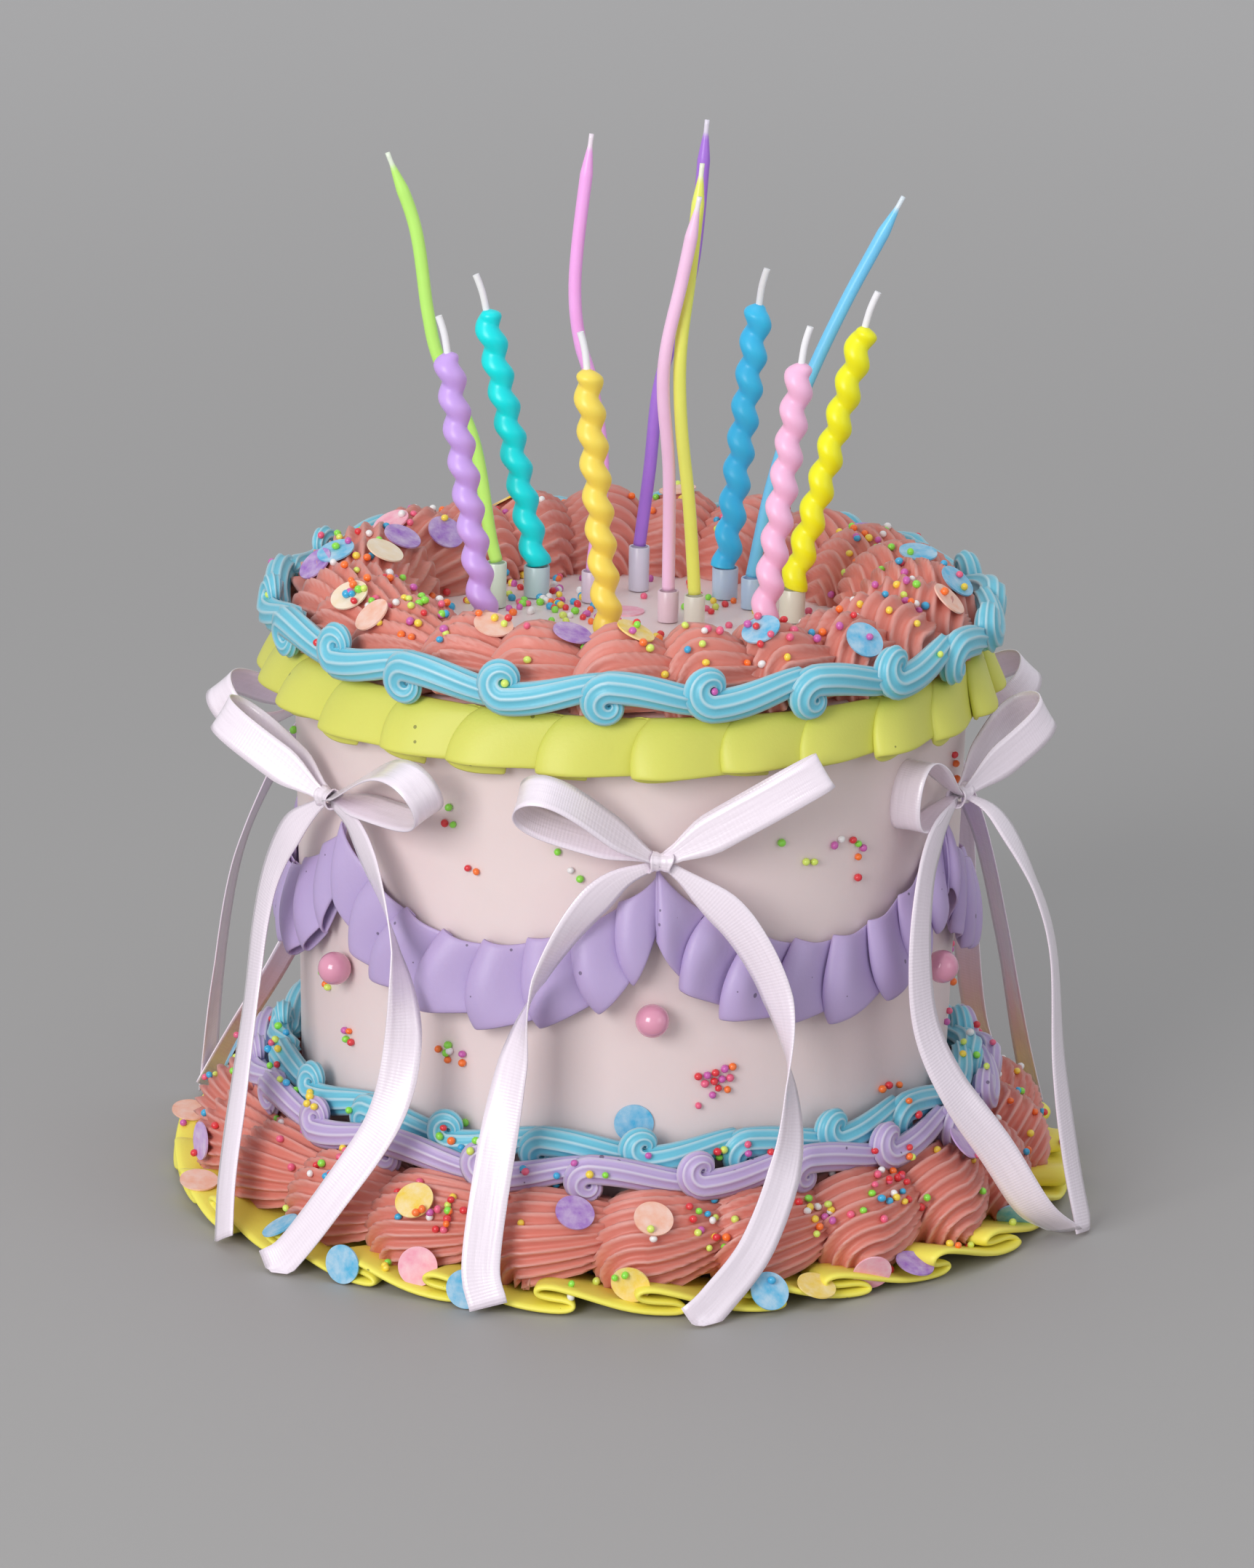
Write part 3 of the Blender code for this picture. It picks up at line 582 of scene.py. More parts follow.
def wax(name, colour, roughness=0.36):
    """Candle wax: soft shine, light passing a little way in, slight clouding."""
    finish = Finish(name, colour, roughness)
    cloud = finish.noise(120.0, 2.0)
    finish.soften(0.25, 0.004, 0.004, 0.004)
    painted = finish.crest_highlights_and_pale_tips(finish.clouded(cloud, colour, 0.93, 1.06), 1.0)
    return finish.done(painted, finish.bump(cloud, 0.3, 0.00015))


def tinted(name, roughness, cloud_scale, cloud_strength, coat=0.0):
    """A finish that takes its colour from the piece's own colour attribute, with pale clouds."""
    finish = Finish(name, (0.8, 0.8, 0.8), roughness)
    cloud = finish.noise(cloud_scale, 5.0, Roughness=0.6)
    span = finish.add("MapRange", {"Value": cloud, "From Min": 0.3, "From Max": 0.7, "To Min": 0.0,
                                   "To Max": cloud_strength}).outputs["Result"]
    if coat:
        finish.coat(coat, 0.12)
    return finish.done(finish.mix(span, finish.tint(), (0.95, 0.9, 0.88)), finish.bump(cloud, 0.3, 0.0001))


def plastic(name, roughness):
    """Thin milky plastic, tinted by the piece's own colour attribute, with faint scuffs."""
    finish = Finish(name, (0.8, 0.85, 0.88), roughness)
    scuffs = finish.noise(400.0, 3.0)
    finish.soften(0.3, 0.003, 0.003, 0.003)
    painted = finish.mix(finish.calculate("MULTIPLY", scuffs, 0.12), finish.tint(), (0.9, 0.9, 0.9))
    return finish.done(painted, finish.bump(scuffs, 0.2, 0.0001))


def pearl(name, colour):
    """A glossy sugar pearl, faintly clouded."""
    finish = Finish(name, colour, 0.2)
    finish.coat(0.6, 0.1)
    return finish.done(finish.clouded(finish.noise(160.0, 2.0), colour, 0.95, 1.05))


def studio_floor(name, colour):
    """A plain floor painted paler far away, where the lamps' light falls off."""
    finish = Finish(name, colour, 0.6)
    finish.feed(finish.shader, {"Specular IOR Level": 0.2})
    distance = finish.add("VectorMath", {0: finish.place()}, operation="LENGTH").outputs["Value"]
    far = finish.add("MapRange", {"Value": distance, "From Min": 0.4, "From Max": 2.4},
                     interpolation_type="SMOOTHSTEP").outputs["Result"]
    # Painted light: paler with distance, to make up for the lamps' falloff.
    return finish.done(finish.clouded(far, colour, 1.0, 1.5))


def material_named(name, make, *values, **more):
    """A finish that is made once and shared."""
    found = bpy.data.materials.get(name)
    return found if found else make(name, *values, **more)


def coral_icing():
    # The coral crests get a fainter painted highlight.
    return material_named("coral icing", icing, tuple(colours().coral), roughness=0.45, ridged=0.2)


def yellow_icing(name="yellow icing", warmth_and_painted_light=(1.0, 1.0, 1.0)):
    # These factors make the colour warmer and paint it brighter, as painted light.
    colour = tuple(min(1.0, share * warm) for share, warm in zip(colours().frill, warmth_and_painted_light))
    return material_named(name, icing, colour, roughness=0.5, pits=0.22, mottle=0.03)


def blue_icing():
    return material_named("blue icing", icing, tuple(colours().blue), roughness=0.4, ridged=CREST_HIGHLIGHT)


def lavender_icing():
    return material_named("lavender icing", icing, tuple(colours().lavender), roughness=0.46, pits=0.42,
                          mottle=0.04, ridged=CREST_HIGHLIGHT)


# Smooth body


def build_body():
    """The smooth iced drum, spun from its profile, with a softly rounded upper edge."""
    size = sizes()
    foot, top, height = size.wall_foot, size.wall_top, size.wall_height
    profile = [(0.0, 0.0), (foot - 0.0006, 0.0), (foot, 0.0008)]
    for step in range(1, 12):
        share = step / 12
        profile.append((foot + (top - foot) * share, height * share))
    for step in range(7):
        turn = math.radians(90 * step / 6)
        profile.append((top - 0.003 + 0.003 * math.cos(turn), height - 0.003 + 0.003 * math.sin(turn)))
    for share in (0.75, 0.5, 0.25, 0.0):
        profile.append((top * share, height))
    bm = bmesh.new()
    spin_profile(bm, profile, 144)
    draw = random.Random(3)
    waves = [(draw.randint(2, 7), draw.uniform(0, 6.28), draw.uniform(20, 60)) for _ in range(6)]
    for vert in bm.verts:
        radius = math.hypot(vert.co.x, vert.co.y)
        if radius > 0.05:
            turn = math.atan2(vert.co.y, vert.co.x)
            ripple = sum(math.sin(count * turn + phase + vert.co.z * pitch)
                         for count, phase, pitch in waves)
            scale = 1 + 0.00004 * ripple / radius
            vert.co.x *= scale
            vert.co.y *= scale
    colour = tuple(colours().wall)
    material = material_named("wall icing", icing, colour, roughness=0.38, grain=0.00006, soft=0.15,
                              mottle=0.03)
    piece(bm, "iced_drum", material, ["cake_body"], sharp=60)


# Coral shells


def shell(bm, azimuth, place, span, head, draw):
    """One piped shell: a ridged head that swells up over itself and streams to a tail at the right.

    place is its line (radius, height, how far the tail runs inward and up), span its half width, crown
    height and length, and head how far it bulges to the left, how far its crown tilts away from the axis
    and how far its ridges drift.
    """
    line_radius, line_height, inward, upward = place
    half_width, crown, length = span
    bulge, tilt, drift = head
    ridges = sizes().shell_ridges
    half_turn, curled_over = 98.0, 118.0
    across = np.linspace(-half_turn, half_turn, ridges * 6 + 1)
    head_rows = np.linspace(curled_over, 6, 11)
    tail_rows = np.linspace(0.0, 1.0, 12)
    lean = np.concatenate([head_rows, np.zeros(len(tail_rows))])
    gone = np.concatenate([np.zeros(len(head_rows)), tail_rows])
    shrink = 1.0 - 0.84 * gone ** 1.5
    phase = draw.uniform(0, 6.28)
    phi = np.radians(across)
    ridge_line = np.linspace(0, ridges, len(across))
    rows, crests = [], []
    outward, upright = math.sin(math.radians(tilt)), math.cos(math.radians(tilt))
    for index in range(len(lean)):
        turn = np.radians(lean[index])
        skew = drift * (1 - lean[index] / curled_over) * 0.35 + drift * gone[index]
        wander = 2.0 * math.sin(phase + index * 0.5)
        groove = np.abs(np.sin(np.pi * (ridge_line + (skew + wander) / (2 * half_turn / ridges)))) ** 1.25
        depth = sizes().ridge_depth / MM * (0.35 + 0.65 * shrink[index])
        width = half_width * shrink[index] ** 0.7
        side = np.sin(phi) * (width - depth * groove * np.abs(np.sin(phi)))
        rise = np.cos(phi) * (1 - depth * groove / crown)
        up = rise * crown * shrink[index] * np.cos(turn)
        left = rise * bulge * np.sin(turn)
        along = length * gone[index] - left
        out = side * upright + up * outward
        high = up * upright - side * outward
        radius = line_radius + out - inward * gone[index]
        height = line_height + high + upward * gone[index]
        rows.append(around_cake(azimuth + np.degrees(along / line_radius), radius, height))
        # The crest mark, a painted highlight along each ridge, fades towards the tail.
        crests.append(np.clip(1.0 - groove * 2.4, 0.0, 1.0) * shrink[index])
    places, crests = (np.concatenate([grid, grid[:, :1]], axis=1)
                      for grid in (np.stack(rows), np.stack(crests)))
    root = around_cake(azimuth, line_radius, line_height)
    tip = around_cake(azimuth + math.degrees(length * 1.04 / line_radius), line_radius - inward,
                      line_height + upward)
    skin(bm, with_ends(places, root, tip), crest=np.pad(crests, ((1, 1), (0, 0))))


def build_shells(name, node, count, seed, first, place, span, head):
    """A border of shells, each tucked under the next one's head and none quite like another."""
    draw = random.Random(seed)
    half_width, crown, length = span
    bulge, tilt, drift = head
    bm = new_ridged()
    for index in range(count):
        azimuth = first + 360.0 / count * index + draw.uniform(-0.9, 0.9)
        size = 1.0 + draw.uniform(-0.05, 0.03)
        shell(bm, azimuth, place, (half_width * size, crown * size, length), (bulge * size, tilt, drift),
              draw)
    piece(bm, name, coral_icing(), [node])


def build_all_shells():
    """The tall shells round the top edge, and those round the foot that lean out over the frill."""
    build_shells("coral_shells_upper", "coral_shells_top", sizes().shells_top, 11, -2.7,
                 (80.4, 161.4, 1.5, 1.0), (20.3, 22.4, 27.0), (14.6, -13.0, 16.0))
    build_shells("coral_shells_lower", "coral_shells_base", sizes().shells_base, 12, 3.6,
                 (108.6, 13.4, 4.5, 4.0), (17.4, 15.6, 32.0), (16.0, 32.0, 14.0))


# Scrolled ropes


def stroke(bm, azimuth, upward, pitch, ring, curl, draw):
    """One stroke of a scroll border: a rosette that unwinds into a rope running on to the right.

    ring is the rope's (radius, height, thickness) and curl the winding's (radius, swing of its centre).
    """
    radius, level, thickness = ring
    curl_radius, swing = curl
    way = 1.0 if upward else -1.0
    turn = np.radians(np.linspace(-170, 270, 36))
    grow = np.linspace(0, 1, len(turn))
    wind = curl_radius * (0.10 + 0.90 * grow ** 1.5)
    centre_up = way * (swing + draw.uniform(-0.4, 0.4))
    along = wind * np.cos(turn)
    up = centre_up + way * wind * np.sin(turn)
    distance = math.radians(pitch) * radius
    tail = np.linspace(0.05, 1.0, 16)
    low = centre_up - way * curl_radius
    high = way * (curl_radius - swing)
    along = np.concatenate([along, distance * tail])
    up = np.concatenate([up, low + (high - low) * ease(tail ** 1.1)])
    out = np.concatenate([0.4 + 1.6 * grow, 2.0 - 3.4 * tail ** 1.4])
    size = np.concatenate([0.42 + 0.58 * ease(grow * 1.3 - 0.3), 1.0 - 0.24 * tail ** 1.8])
    route = around_cake(azimuth + np.degrees(along / radius), radius + out, level + up)
    away = unit(route * np.array([1.0, 1.0, 0.0]))
    fade = np.ones(len(size))
    fade[0], fade[-1] = 0.6, 0.6
    sweep(bm, route, away, thickness * size * fade, around=36, lobes=9, depth=0.2, twist=-70 * way,
          flat=0.85)


def build_scroll(name, material, nodes, first, ring, curl, seed):
    """A rope of icing piped round the cake as curls that turn up and down in turn."""
    count = sizes().scroll_curls
    step = 360.0 / count
    draw = random.Random(seed)
    bm = new_ridged()
    for index in range(count):
        stroke(bm, first + step * index + draw.uniform(-0.6, 0.6), index % 2 == 0, step, ring, curl, draw)
    piece(bm, name, material, nodes)


def build_ropes():
    """The blue rope round the top, and the blue and the lavender one round the foot."""
    build_scroll("blue_rope_upper", blue_icing(), ["blue_scroll_top"], 12.9,
                 (101.0, 168.6, 4.8), (4.9, 2.6), 31)
    build_scroll("blue_rope_lower", blue_icing(), ["blue_scroll_base"], 4.0,
                 (98.2, 37.5, 4.5), (4.2, 2.2), 32)
    build_scroll("lavender_rope_lower", lavender_icing(), ["lavender_scroll_base"],
                 12.0, (104.4, 32.0, 4.4), (4.4, 2.3), 33)


# Frills and swags


# One pleat of a hanging frill as (along in pleats, share of the overlap, forward, how far its lower
# edge hangs down, how far its corner is drawn out).
PLEAT = np.array([
    (-0.07, 0.00, 0.58, 0.2, 1.0), (-0.02, 0.00, 0.84, 0.0, 0.92), (0.20, 0.00, 1.00, 0.0, 0.62),
    (0.50, 0.00, 0.84, 0.0, 0.28), (0.86, 0.10, 0.42, 0.0, 0.06), (1.00, 0.70, 0.12, 0.3, 0.0),
    (1.00, 1.00, 0.05, 1.0, 0.0), (1.00, 0.82, 0.20, 1.0, 0.3), (1.00, 0.40, 0.36, 1.0, 0.6),
    (0.98, 0.06, 0.50, 0.7, 0.9),
])

# The same for the frill that lies on the floor: a loose fold that stands open at both its ends.
LOOSE_PLEAT = np.array([
    (-0.02, 0.00, 0.78, 0.3, 0.0), (0.02, 0.00, 0.97, 0.1, 0.0), (0.18, 0.00, 1.00, 0.0, 0.0),
    (0.52, 0.00, 0.62, 0.0, 0.0), (0.86, 0.10, 0.17, 0.0, 0.0), (1.00, 0.76, 0.04, 0.1, 0.0),
    (1.00, 1.00, 0.22, 0.5, 0.0), (1.00, 0.80, 0.42, 0.9, 0.0), (1.00, 0.40, 0.47, 1.0, 0.0),
    (1.00, 0.04, 0.58, 0.7, 0.0),
])
PLACES_PER_KNOT = 2


def pleated(pleats, overlap, fold, pleat=PLEAT):
    """A pleated sheet's line: along in pleats, forward, hang and corner, from the left to the right.

    overlap is how far each pleat tucks under the next, fold how far the sheet is folded at all.
    """
    knots = len(pleat)
    flat = np.arange(knots) / knots
    along = (1 - fold) * flat + fold * (pleat[:, 0] + overlap * pleat[:, 1])
    one = np.column_stack([along, pleat[:, 2:]])
    step = np.array([1.0, 0.0, 0.0, 0.0])
    many = np.concatenate([one + step * index for index in range(-1, pleats + 2)])
    place = knots + np.arange(pleats * knots * PLACES_PER_KNOT + 1) / PLACES_PER_KNOT
    index = place.astype(int)
    return through(many, index, place - index).T


def per_pleat(values, columns):
    """A value for each pleat spread over its columns, joined smoothly to the next."""
    place = np.linspace(0, len(values), columns)
    index = np.minimum(place.astype(int), len(values) - 1)
    following = (index + 1) % len(values)
    values = np.asarray(values)
    return values[index] + (values[following] - values[index]) * ease((place - index) * 1.6 - 0.6)


def uneven(draw, pleats, *spans):
    """For each span, a value drawn for every pleat."""
    return [[draw.uniform(low, high) for _ in range(pleats)] for low, high in spans]


def ring_skin(rows):
    """A bmesh of a sheet whose rows run round the cake and end where they began."""
    places = np.stack(rows)
    places[:, -1] = places[:, 0]
    bm = bmesh.new()
    skin(bm, places)
    return bm


def build_top_frill():
    """The yellow frill that hangs below the blue rope in overlapping pleats."""
    pleats = sizes().frill_pleats
    pitch = 360.0 / pleats
    top, length, radius_at_top, flare, pleat_depth = 161.4, 14.2, 97.4, 2.2, 7.2
    own = uneven(random.Random(21), pleats, (-1.3, 0.9), (0.85, 1.12), (-0.09, 0.09), (1.4, 4.0))
    rows = []
    for share in np.linspace(0, 1, 11) ** 1.2:
        along, forward, hang, _ = pleated(pleats, 0.50, ease(share * 7 + 0.15))
        drop, depth, shift, lip = (per_pleat(values, len(along)) for values in own)
        along = along + 0.26 * (1 - share) ** 2.6 + shift * share
        height = top - length * share + drop * share - lip * hang * share ** 4
        radius = radius_at_top + flare * share + forward * depth * pleat_depth * share ** 0.5
        rows.append(around_cake(along * pitch + 0.4, radius, height))
    obj = piece(ring_skin(rows), "yellow_frill_upper", yellow_icing(),
                ["yellow_ruffle_top"])
    thicken(obj, 1.5)


def build_base_frill():
    """The yellow frill that lies round the foot in thick loose folds."""
    pleats = sizes().base_folds
    pitch = 360.0 / pleats
    lowest, fold_height, inner_radius, run_out = 1.1, 7.2, 104.0, 28.0
    own = uneven(random.Random(22), pleats, (-2.4, 0.2), (0.85, 1.08), (-0.12, 0.12))
    rows = []
    for share in np.linspace(0, 1, 8):
        along, forward, hang, _ = pleated(pleats, 0.42, 0.8 + 0.2 * share, LOOSE_PLEAT)
        reach, rise, shift = (per_pleat(values, len(along)) for values in own)
        height = lowest + forward * fold_height * rise * (0.45 + 0.55 * share)
        radius = inner_radius + share * (run_out + reach - 1.4 * hang)
        rows.append(around_cake((along + shift * share) * pitch + 2.0, radius, height))
    # The foot frill is painted brighter than the top one, as painted light, and warmer.
    obj = piece(ring_skin(rows), "yellow_frill_lower", yellow_icing("warm yellow icing", LOWER_WARMTH_AND_PAINTED_LIGHT),
                ["yellow_ruffle_base"])
    thicken(obj, 1.9)


def build_swag(number, first):
    """One pleated lavender swag, hung from one bow to the next."""
    pleats = sizes().swag_pleats
    top_ends, top_sag, foot_ends, foot_sag = 117.0, 23.5, 101.6, 28.0
    own = uneven(random.Random(40 + number), pleats, (-1.0, 1.0), (0.8, 1.15), (-0.1, 0.1))
    rows = []
    for share in np.linspace(0, 1, 10):
        along, forward, hang, corner = pleated(pleats, 0.42, 0.62 + 0.38 * share)
        drop, depth, shift = (per_pleat(values, len(along)) for values in own)
        edge = np.clip(np.minimum(along, pleats - along) * 1.5, 0.0, 1.0)
        along = along + edge * (0.22 * (1 - share) ** 2.2 + 0.14 * share ** 4
                                - 0.10 * np.sin(np.pi * share) + shift * share)
        across = np.clip(along / pleats, 0.0, 1.0)
        sag = np.sin(np.pi * across) ** 0.8
        top = top_ends - top_sag * sag + 1.8 * corner
        bottom = foot_ends - foot_sag * sag - 3.6 * corner - 0.6 * hang + drop
        height = top + (bottom - top) * share
        radius = (wall_radius(height) + 0.9 + 0.6 * share
                  + forward * depth * (2.6 + 2.2 * share + 2.6 * np.sin(np.pi * share * 0.85)))
        lean = -9.5 * share * np.sin(2 * np.pi * across)
        azimuth = first + BOW_STEP * across + np.degrees(lean / 98.0)
        rows.append(around_cake(azimuth, radius, height))
    bm = bmesh.new()
    skin(bm, np.stack(rows))
    obj = piece(bm, f"swag_{number}", lavender_icing(), [f"lavender_swag_{number}"])
    thicken(obj, 0.9)


def build_swags():
    """A swag from each bow to the next."""
    for index in range(len(BOWS)):
        build_swag(index + 1, BOW_FIRST + BOW_STEP * index)


# Bows


def ribbon_strip(bm, route, out, widths, roll, camber=0.35):
    """A flat ribbon along a route, turned about it by roll degrees and slightly hollow across."""
    ahead = directions(route)
    face = unit(out - np.sum(out * ahead, axis=1)[:, None] * ahead)
    face = turned(face, ahead, roll)
    across = np.cross(ahead, face)
    shares = np.linspace(-0.5, 0.5, 7)
    widths = np.asarray(widths, float)
    places = (route[:, None] + across[:, None] * (widths[:, None] * shares[None, :])[..., None]
              + face[:, None] * (camber * (1 - (2 * shares) ** 2))[None, :, None])
    places = np.clip(places, np.array(CAD_BOX[0]) / MM + RIBBON_ROOM,
                     np.array(CAD_BOX[1]) / MM - RIBBON_ROOM)
    length = float(np.sum(np.linalg.norm(np.diff(route, axis=0), axis=1)))
    skin(bm, places, uv_size=(float(widths.max()) * MM, length * MM))


def gathered_width(away):
    """Widths of a ribbon that is gathered in the knot and full at one or more away from it."""
    return sizes().ribbon_width / MM * (0.28 + 0.72 * ease(away))


def bow_tail(bm, azimuth, points, roll):
    """A hanging ribbon end that starts gathered in the knot."""
    steps = 64
    route = beside(azimuth, smooth_route(points, steps))
    out = np.tile(around_cake(azimuth, 1.0, 0.0), (steps, 1))
    share = np.linspace(0, 1, steps)
    width = gathered_width(share * 7)
    ribbon_strip(bm, route, out, width, np.interp(share, np.linspace(0, 1, len(roll)), roll))


def bow_loop(bm, azimuth, height, side, length, rise, swing, opening, roll):
    """One loop of a bow: out from the knot, round, and back to it."""
    steps = 56
    rise, swing = math.radians(rise), math.radians(swing)
    arm = np.array([side * math.cos(rise) * math.cos(swing), math.sin(swing),
                    math.sin(rise) * math.cos(swing)])
    away = np.array([0.0, 1.0, 0.0]) - arm * arm[1]
    away /= np.linalg.norm(away)
    away = turned(away[None], arm[None], side * roll)[0]
    turn = np.linspace(0, 1, steps)
    reach = np.sin(np.pi * turn) ** 0.78 * length
    spread = opening * np.sin(2 * np.pi * turn) * (0.75 + 0.25 * np.sin(np.pi * turn))
    start = np.array([0.0, KNOT_RADIUS, height])
    route = start + arm * reach[:, None] + away * spread[:, None]
    route[:, 1] += 0.9 * np.cos(np.pi * turn)
    across = np.cross(arm, away)
    width = gathered_width(reach / 17)
    route = beside(azimuth, route)
    ahead = directions(route)
    across = unit(beside(azimuth, across))
    face = np.cross(np.tile(across, (steps, 1)), ahead)
    ribbon_strip(bm, route, face, width, 0.0, camber=0.2)


def bow_knot(bm, azimuth, height):
    """The pinched wrap round the middle, with the folds of the gathered ribbon in it."""
    rows = []
    half_width, half_depth, half_height = 2.9, 2.7, 3.4
    edge = np.linspace(-1, 1, 13)
    for turn in np.linspace(0, 2 * np.pi, 31):
        fold = 1.0 + 0.10 * math.sin(2 * turn + 1) + 0.05 * math.sin(5 * turn)
        waist = 0.72 + 0.26 * edge ** 2 - 0.04 * np.cos(edge * 9.0 + 2.0 * math.sin(turn))
        along = edge * (half_width + 0.3 * math.sin(turn * 3)) + 0.5 * math.sin(turn)
        rows.append(np.stack([along, KNOT_RADIUS + half_depth * fold * waist * np.cos(turn),
                              height + half_height * fold * waist * np.sin(turn)], axis=-1))
    skin(bm, beside(azimuth, np.stack(rows)), uv_size=(0.006, 0.018))


# How far each tail is twisted about its own line, in degrees, from the knot to its end.
TAIL_ROLLS = {
    "front": ((0, -25, -60, -130, -165, -175, -180), (0, 15, 40, 110, 160, 172, 180)),
    "left": ((0, 10, 10, 0, 0), (0, 10, 45, 115, 160, 172, 180)),
    "right": ((0, 5, 15, 20, 60, 80), (0, -20, -10, 0, 5)),
}


def build_bows():
    """The six satin bows."""
    material = material_named("satin ribbon", satin_ribbon, tuple(colours().satin))
    for index, (name, bow) in enumerate(BOWS.items()):
        height, left_tail, right_tail, left_loop, right_loop = bow
        azimuth = BOW_FIRST + BOW_STEP * index
        left_roll, right_roll = TAIL_ROLLS.get(name, ((0, 10, 10, 0), (0, -10, -10, 0)))
        bm = new_sheet()
        bow_tail(bm, azimuth, left_tail, left_roll)
        bow_tail(bm, azimuth, right_tail, right_roll)
        bow_loop(bm, azimuth, height, -1, *left_loop)
        bow_loop(bm, azimuth, height, 1, *right_loop)
        bow_knot(bm, azimuth, height)
        obj = piece(bm, f"satin_bow_{name}", material, [f"bow_{name}"], closed=False)
        thicken(obj, 0.4, rounds=0)


# Pearls


def build_pearls():
    """The pink pearls, each pressed into the wall under a bow."""
    size = sizes()
    material = material_named("pink pearl", pearl, tuple(colours().pearl))
    radius = size.pearl_radius / MM
    for index, name in enumerate(BOWS):
        azimuth = BOW_FIRST + BOW_STEP * index - 0.6
        centre = around_cake(azimuth, wall_radius(PEARL_HEIGHT) + radius + 0.1, PEARL_HEIGHT) * MM
        bm = bmesh.new()
        bmesh.ops.create_uvsphere(bm, u_segments=48, v_segments=28, radius=size.pearl_radius,
                                  matrix=Matrix.Translation(Vector(centre)))
        piece(bm, f"pearl_on_wall_{name}", material, [f"pearl_{name}"])


# Candles


def cup(bm, foot, low, radius, height):
    """A hollow candle cup, spun from its profile."""
    wall = 0.55
    profile = [(0.0, 0.0), (radius * 0.95, 0.0), (radius * 0.97, 0.3), (radius, height - 0.25),
               (radius - 0.15, height), (radius - wall, height - 0.1), (radius - wall, height - 1.2),
               (0.0, height - 1.4)]
    spin_profile(bm, [(out * MM, up * MM) for out, up in profile], 28)
    bmesh.ops.translate(bm, verts=bm.verts, vec=(foot[0] * MM, foot[1] * MM, low * MM))


def cam(around, turns, wide, narrow):
    """Radii of a twisted candle's section: one broad lobe and one crisp groove, turning as it climbs."""
    turn = np.linspace(0, 2 * np.pi, around + 1)
    away = (turn[None, :] - turns[:, None]) / 2
    return turn, narrow + (wide - narrow) * np.abs(np.cos(away)) ** 1.5


def candle_foot(foot, holder):
    """Where a candle starts: just above the floor of its cup, which stands on the iced top."""
    return foot[0], foot[1], sizes().wall_height / MM + CUP_LIFT + holder + 0.3


def spiral_candle(bm, start, end, turns, start_angle):
    """A twisted candle with a rounded shoulder."""
    steps = 190
    share = np.linspace(0, 1, steps)
    route = start + (end - start) * share[:, None]
    twist = start_angle + turns * 2 * np.pi * share
    turn, radii = cam(30, twist, *TWISTED_RADII)
    length = np.linalg.norm(end - start)
    gap = (1 - share) * length
    dome = np.sqrt(np.clip(1 - ((SHOULDER - gap) / SHOULDER) ** 2, 0.02, 1))
    shoulder = np.where(gap < SHOULDER, dome, 1.0)
    shoulder = np.where(gap < 0.8, np.maximum(shoulder, 0.3), shoulder)
    radii = radii * shoulder[:, None]
    ahead = (end - start) / length
    side = unit(np.cross(ahead, np.array([0.0, 1.0, 0.0])))
    front = np.cross(side, ahead)
    places = route[:, None] + radii[..., None] * (np.cos(turn)[None, :, None] * side
                                                  + np.sin(turn)[None, :, None] * front)
    skin(bm, with_ends(places, route[0], route[-1]))


def build_spiral_candles():
    """The twisted candles with their wicks."""
    wick_material = material_named("white wick", icing, linear(240, 240, 244), roughness=0.6, soft=0.0,
                                   mottle=0.03)
    for index, (name, (foot, top, holder, colour)) in enumerate(SPIRAL_CANDLES.items()):
        start = np.array(candle_foot(foot, holder))
        end = np.array([top[0], foot[1], top[1] + 1.6])
        bm = bmesh.new()
        spiral_candle(bm, start, end, 8.2, 0.9 + index * 1.7)
        material = wax(f"wax {name}", linear(*colour))
        piece(bm, f"twisted_candle_{name}", material, [f"candle_spiral_{name}"])
        lean = unit(end - start)
        side = math.copysign(1.0, top[0])
        reach = np.array([-1.0, 2.0, 5.0, 8.0, 10.4])
        bend = np.array([0.0, 0.0, 0.1, 0.5, 1.0]) * side
        route = end + lean * reach[:, None]
        route[:, 0] += bend
        route = smooth_route(route, 16)
        bm = bmesh.new()
        sweep(bm, route, np.tile([0.0, -1.0, 0.0], (16, 1)), np.full(16, 1.0), around=14)
        piece(bm, f"candle_wick_{name}", wick_material, [f"wick_{name}"], sharp=60)


def build_thin_candles():
    """The slim bent candles, each drawn out to a pale crimped point."""
    for name, (foot, route, holder, colour) in THIN_CANDLES.items():
        points = np.array([candle_foot(foot, holder)] + [(x, foot[1], z) for x, z in route])
        low = points[0, 2]
        points[:, 1] += SLIM_LEANS.get(name, 0.0) * (points[:, 2] - low) / (points[-1, 2] - low)
        steps = 110
        line = smooth_route(points, steps)
        gap = np.linalg.norm(line[-1] - line, axis=1)
        radii = SLIM_RADIUS * np.clip(0.30 + 0.70 * (gap - 3.6) / 8.0, 0.30, 1.0) ** 0.8
        tip = np.clip(1.0 - (gap - 2.6) / 2.4, 0.0, 0.75)
        crest = np.concatenate([[0.0], tip, [0.75]])[:, None]
        bm = new_ridged()
        sweep(bm, line, np.tile([0.0, -1.0, 0.0], (steps, 1)), radii, around=20, crest=crest)
        material = wax(f"wax {name}", linear(*colour), 0.3)
        piece(bm, f"slim_candle_{name}", material, [f"candle_thin_{name}"])


def build_holders():
    """The small milky cups that the candles stand in, each with a hint of colour."""
    low = sizes().wall_height / MM + CUP_LIFT
    milky = plastic("white holder", 0.28)
    for candles, radius in zip((SPIRAL_CANDLES, THIN_CANDLES), CUP_RADII):
        for name, (foot, _, holder, _) in candles.items():
            bm, layer = new_tinted()
            cup(bm, foot, low, radius, holder)
            dye(bm.verts, layer, CUP_TINTS[name])
            piece(bm, f"cup_{name}", milky, [f"holder_{name}"], sharp=50)


# Toppings


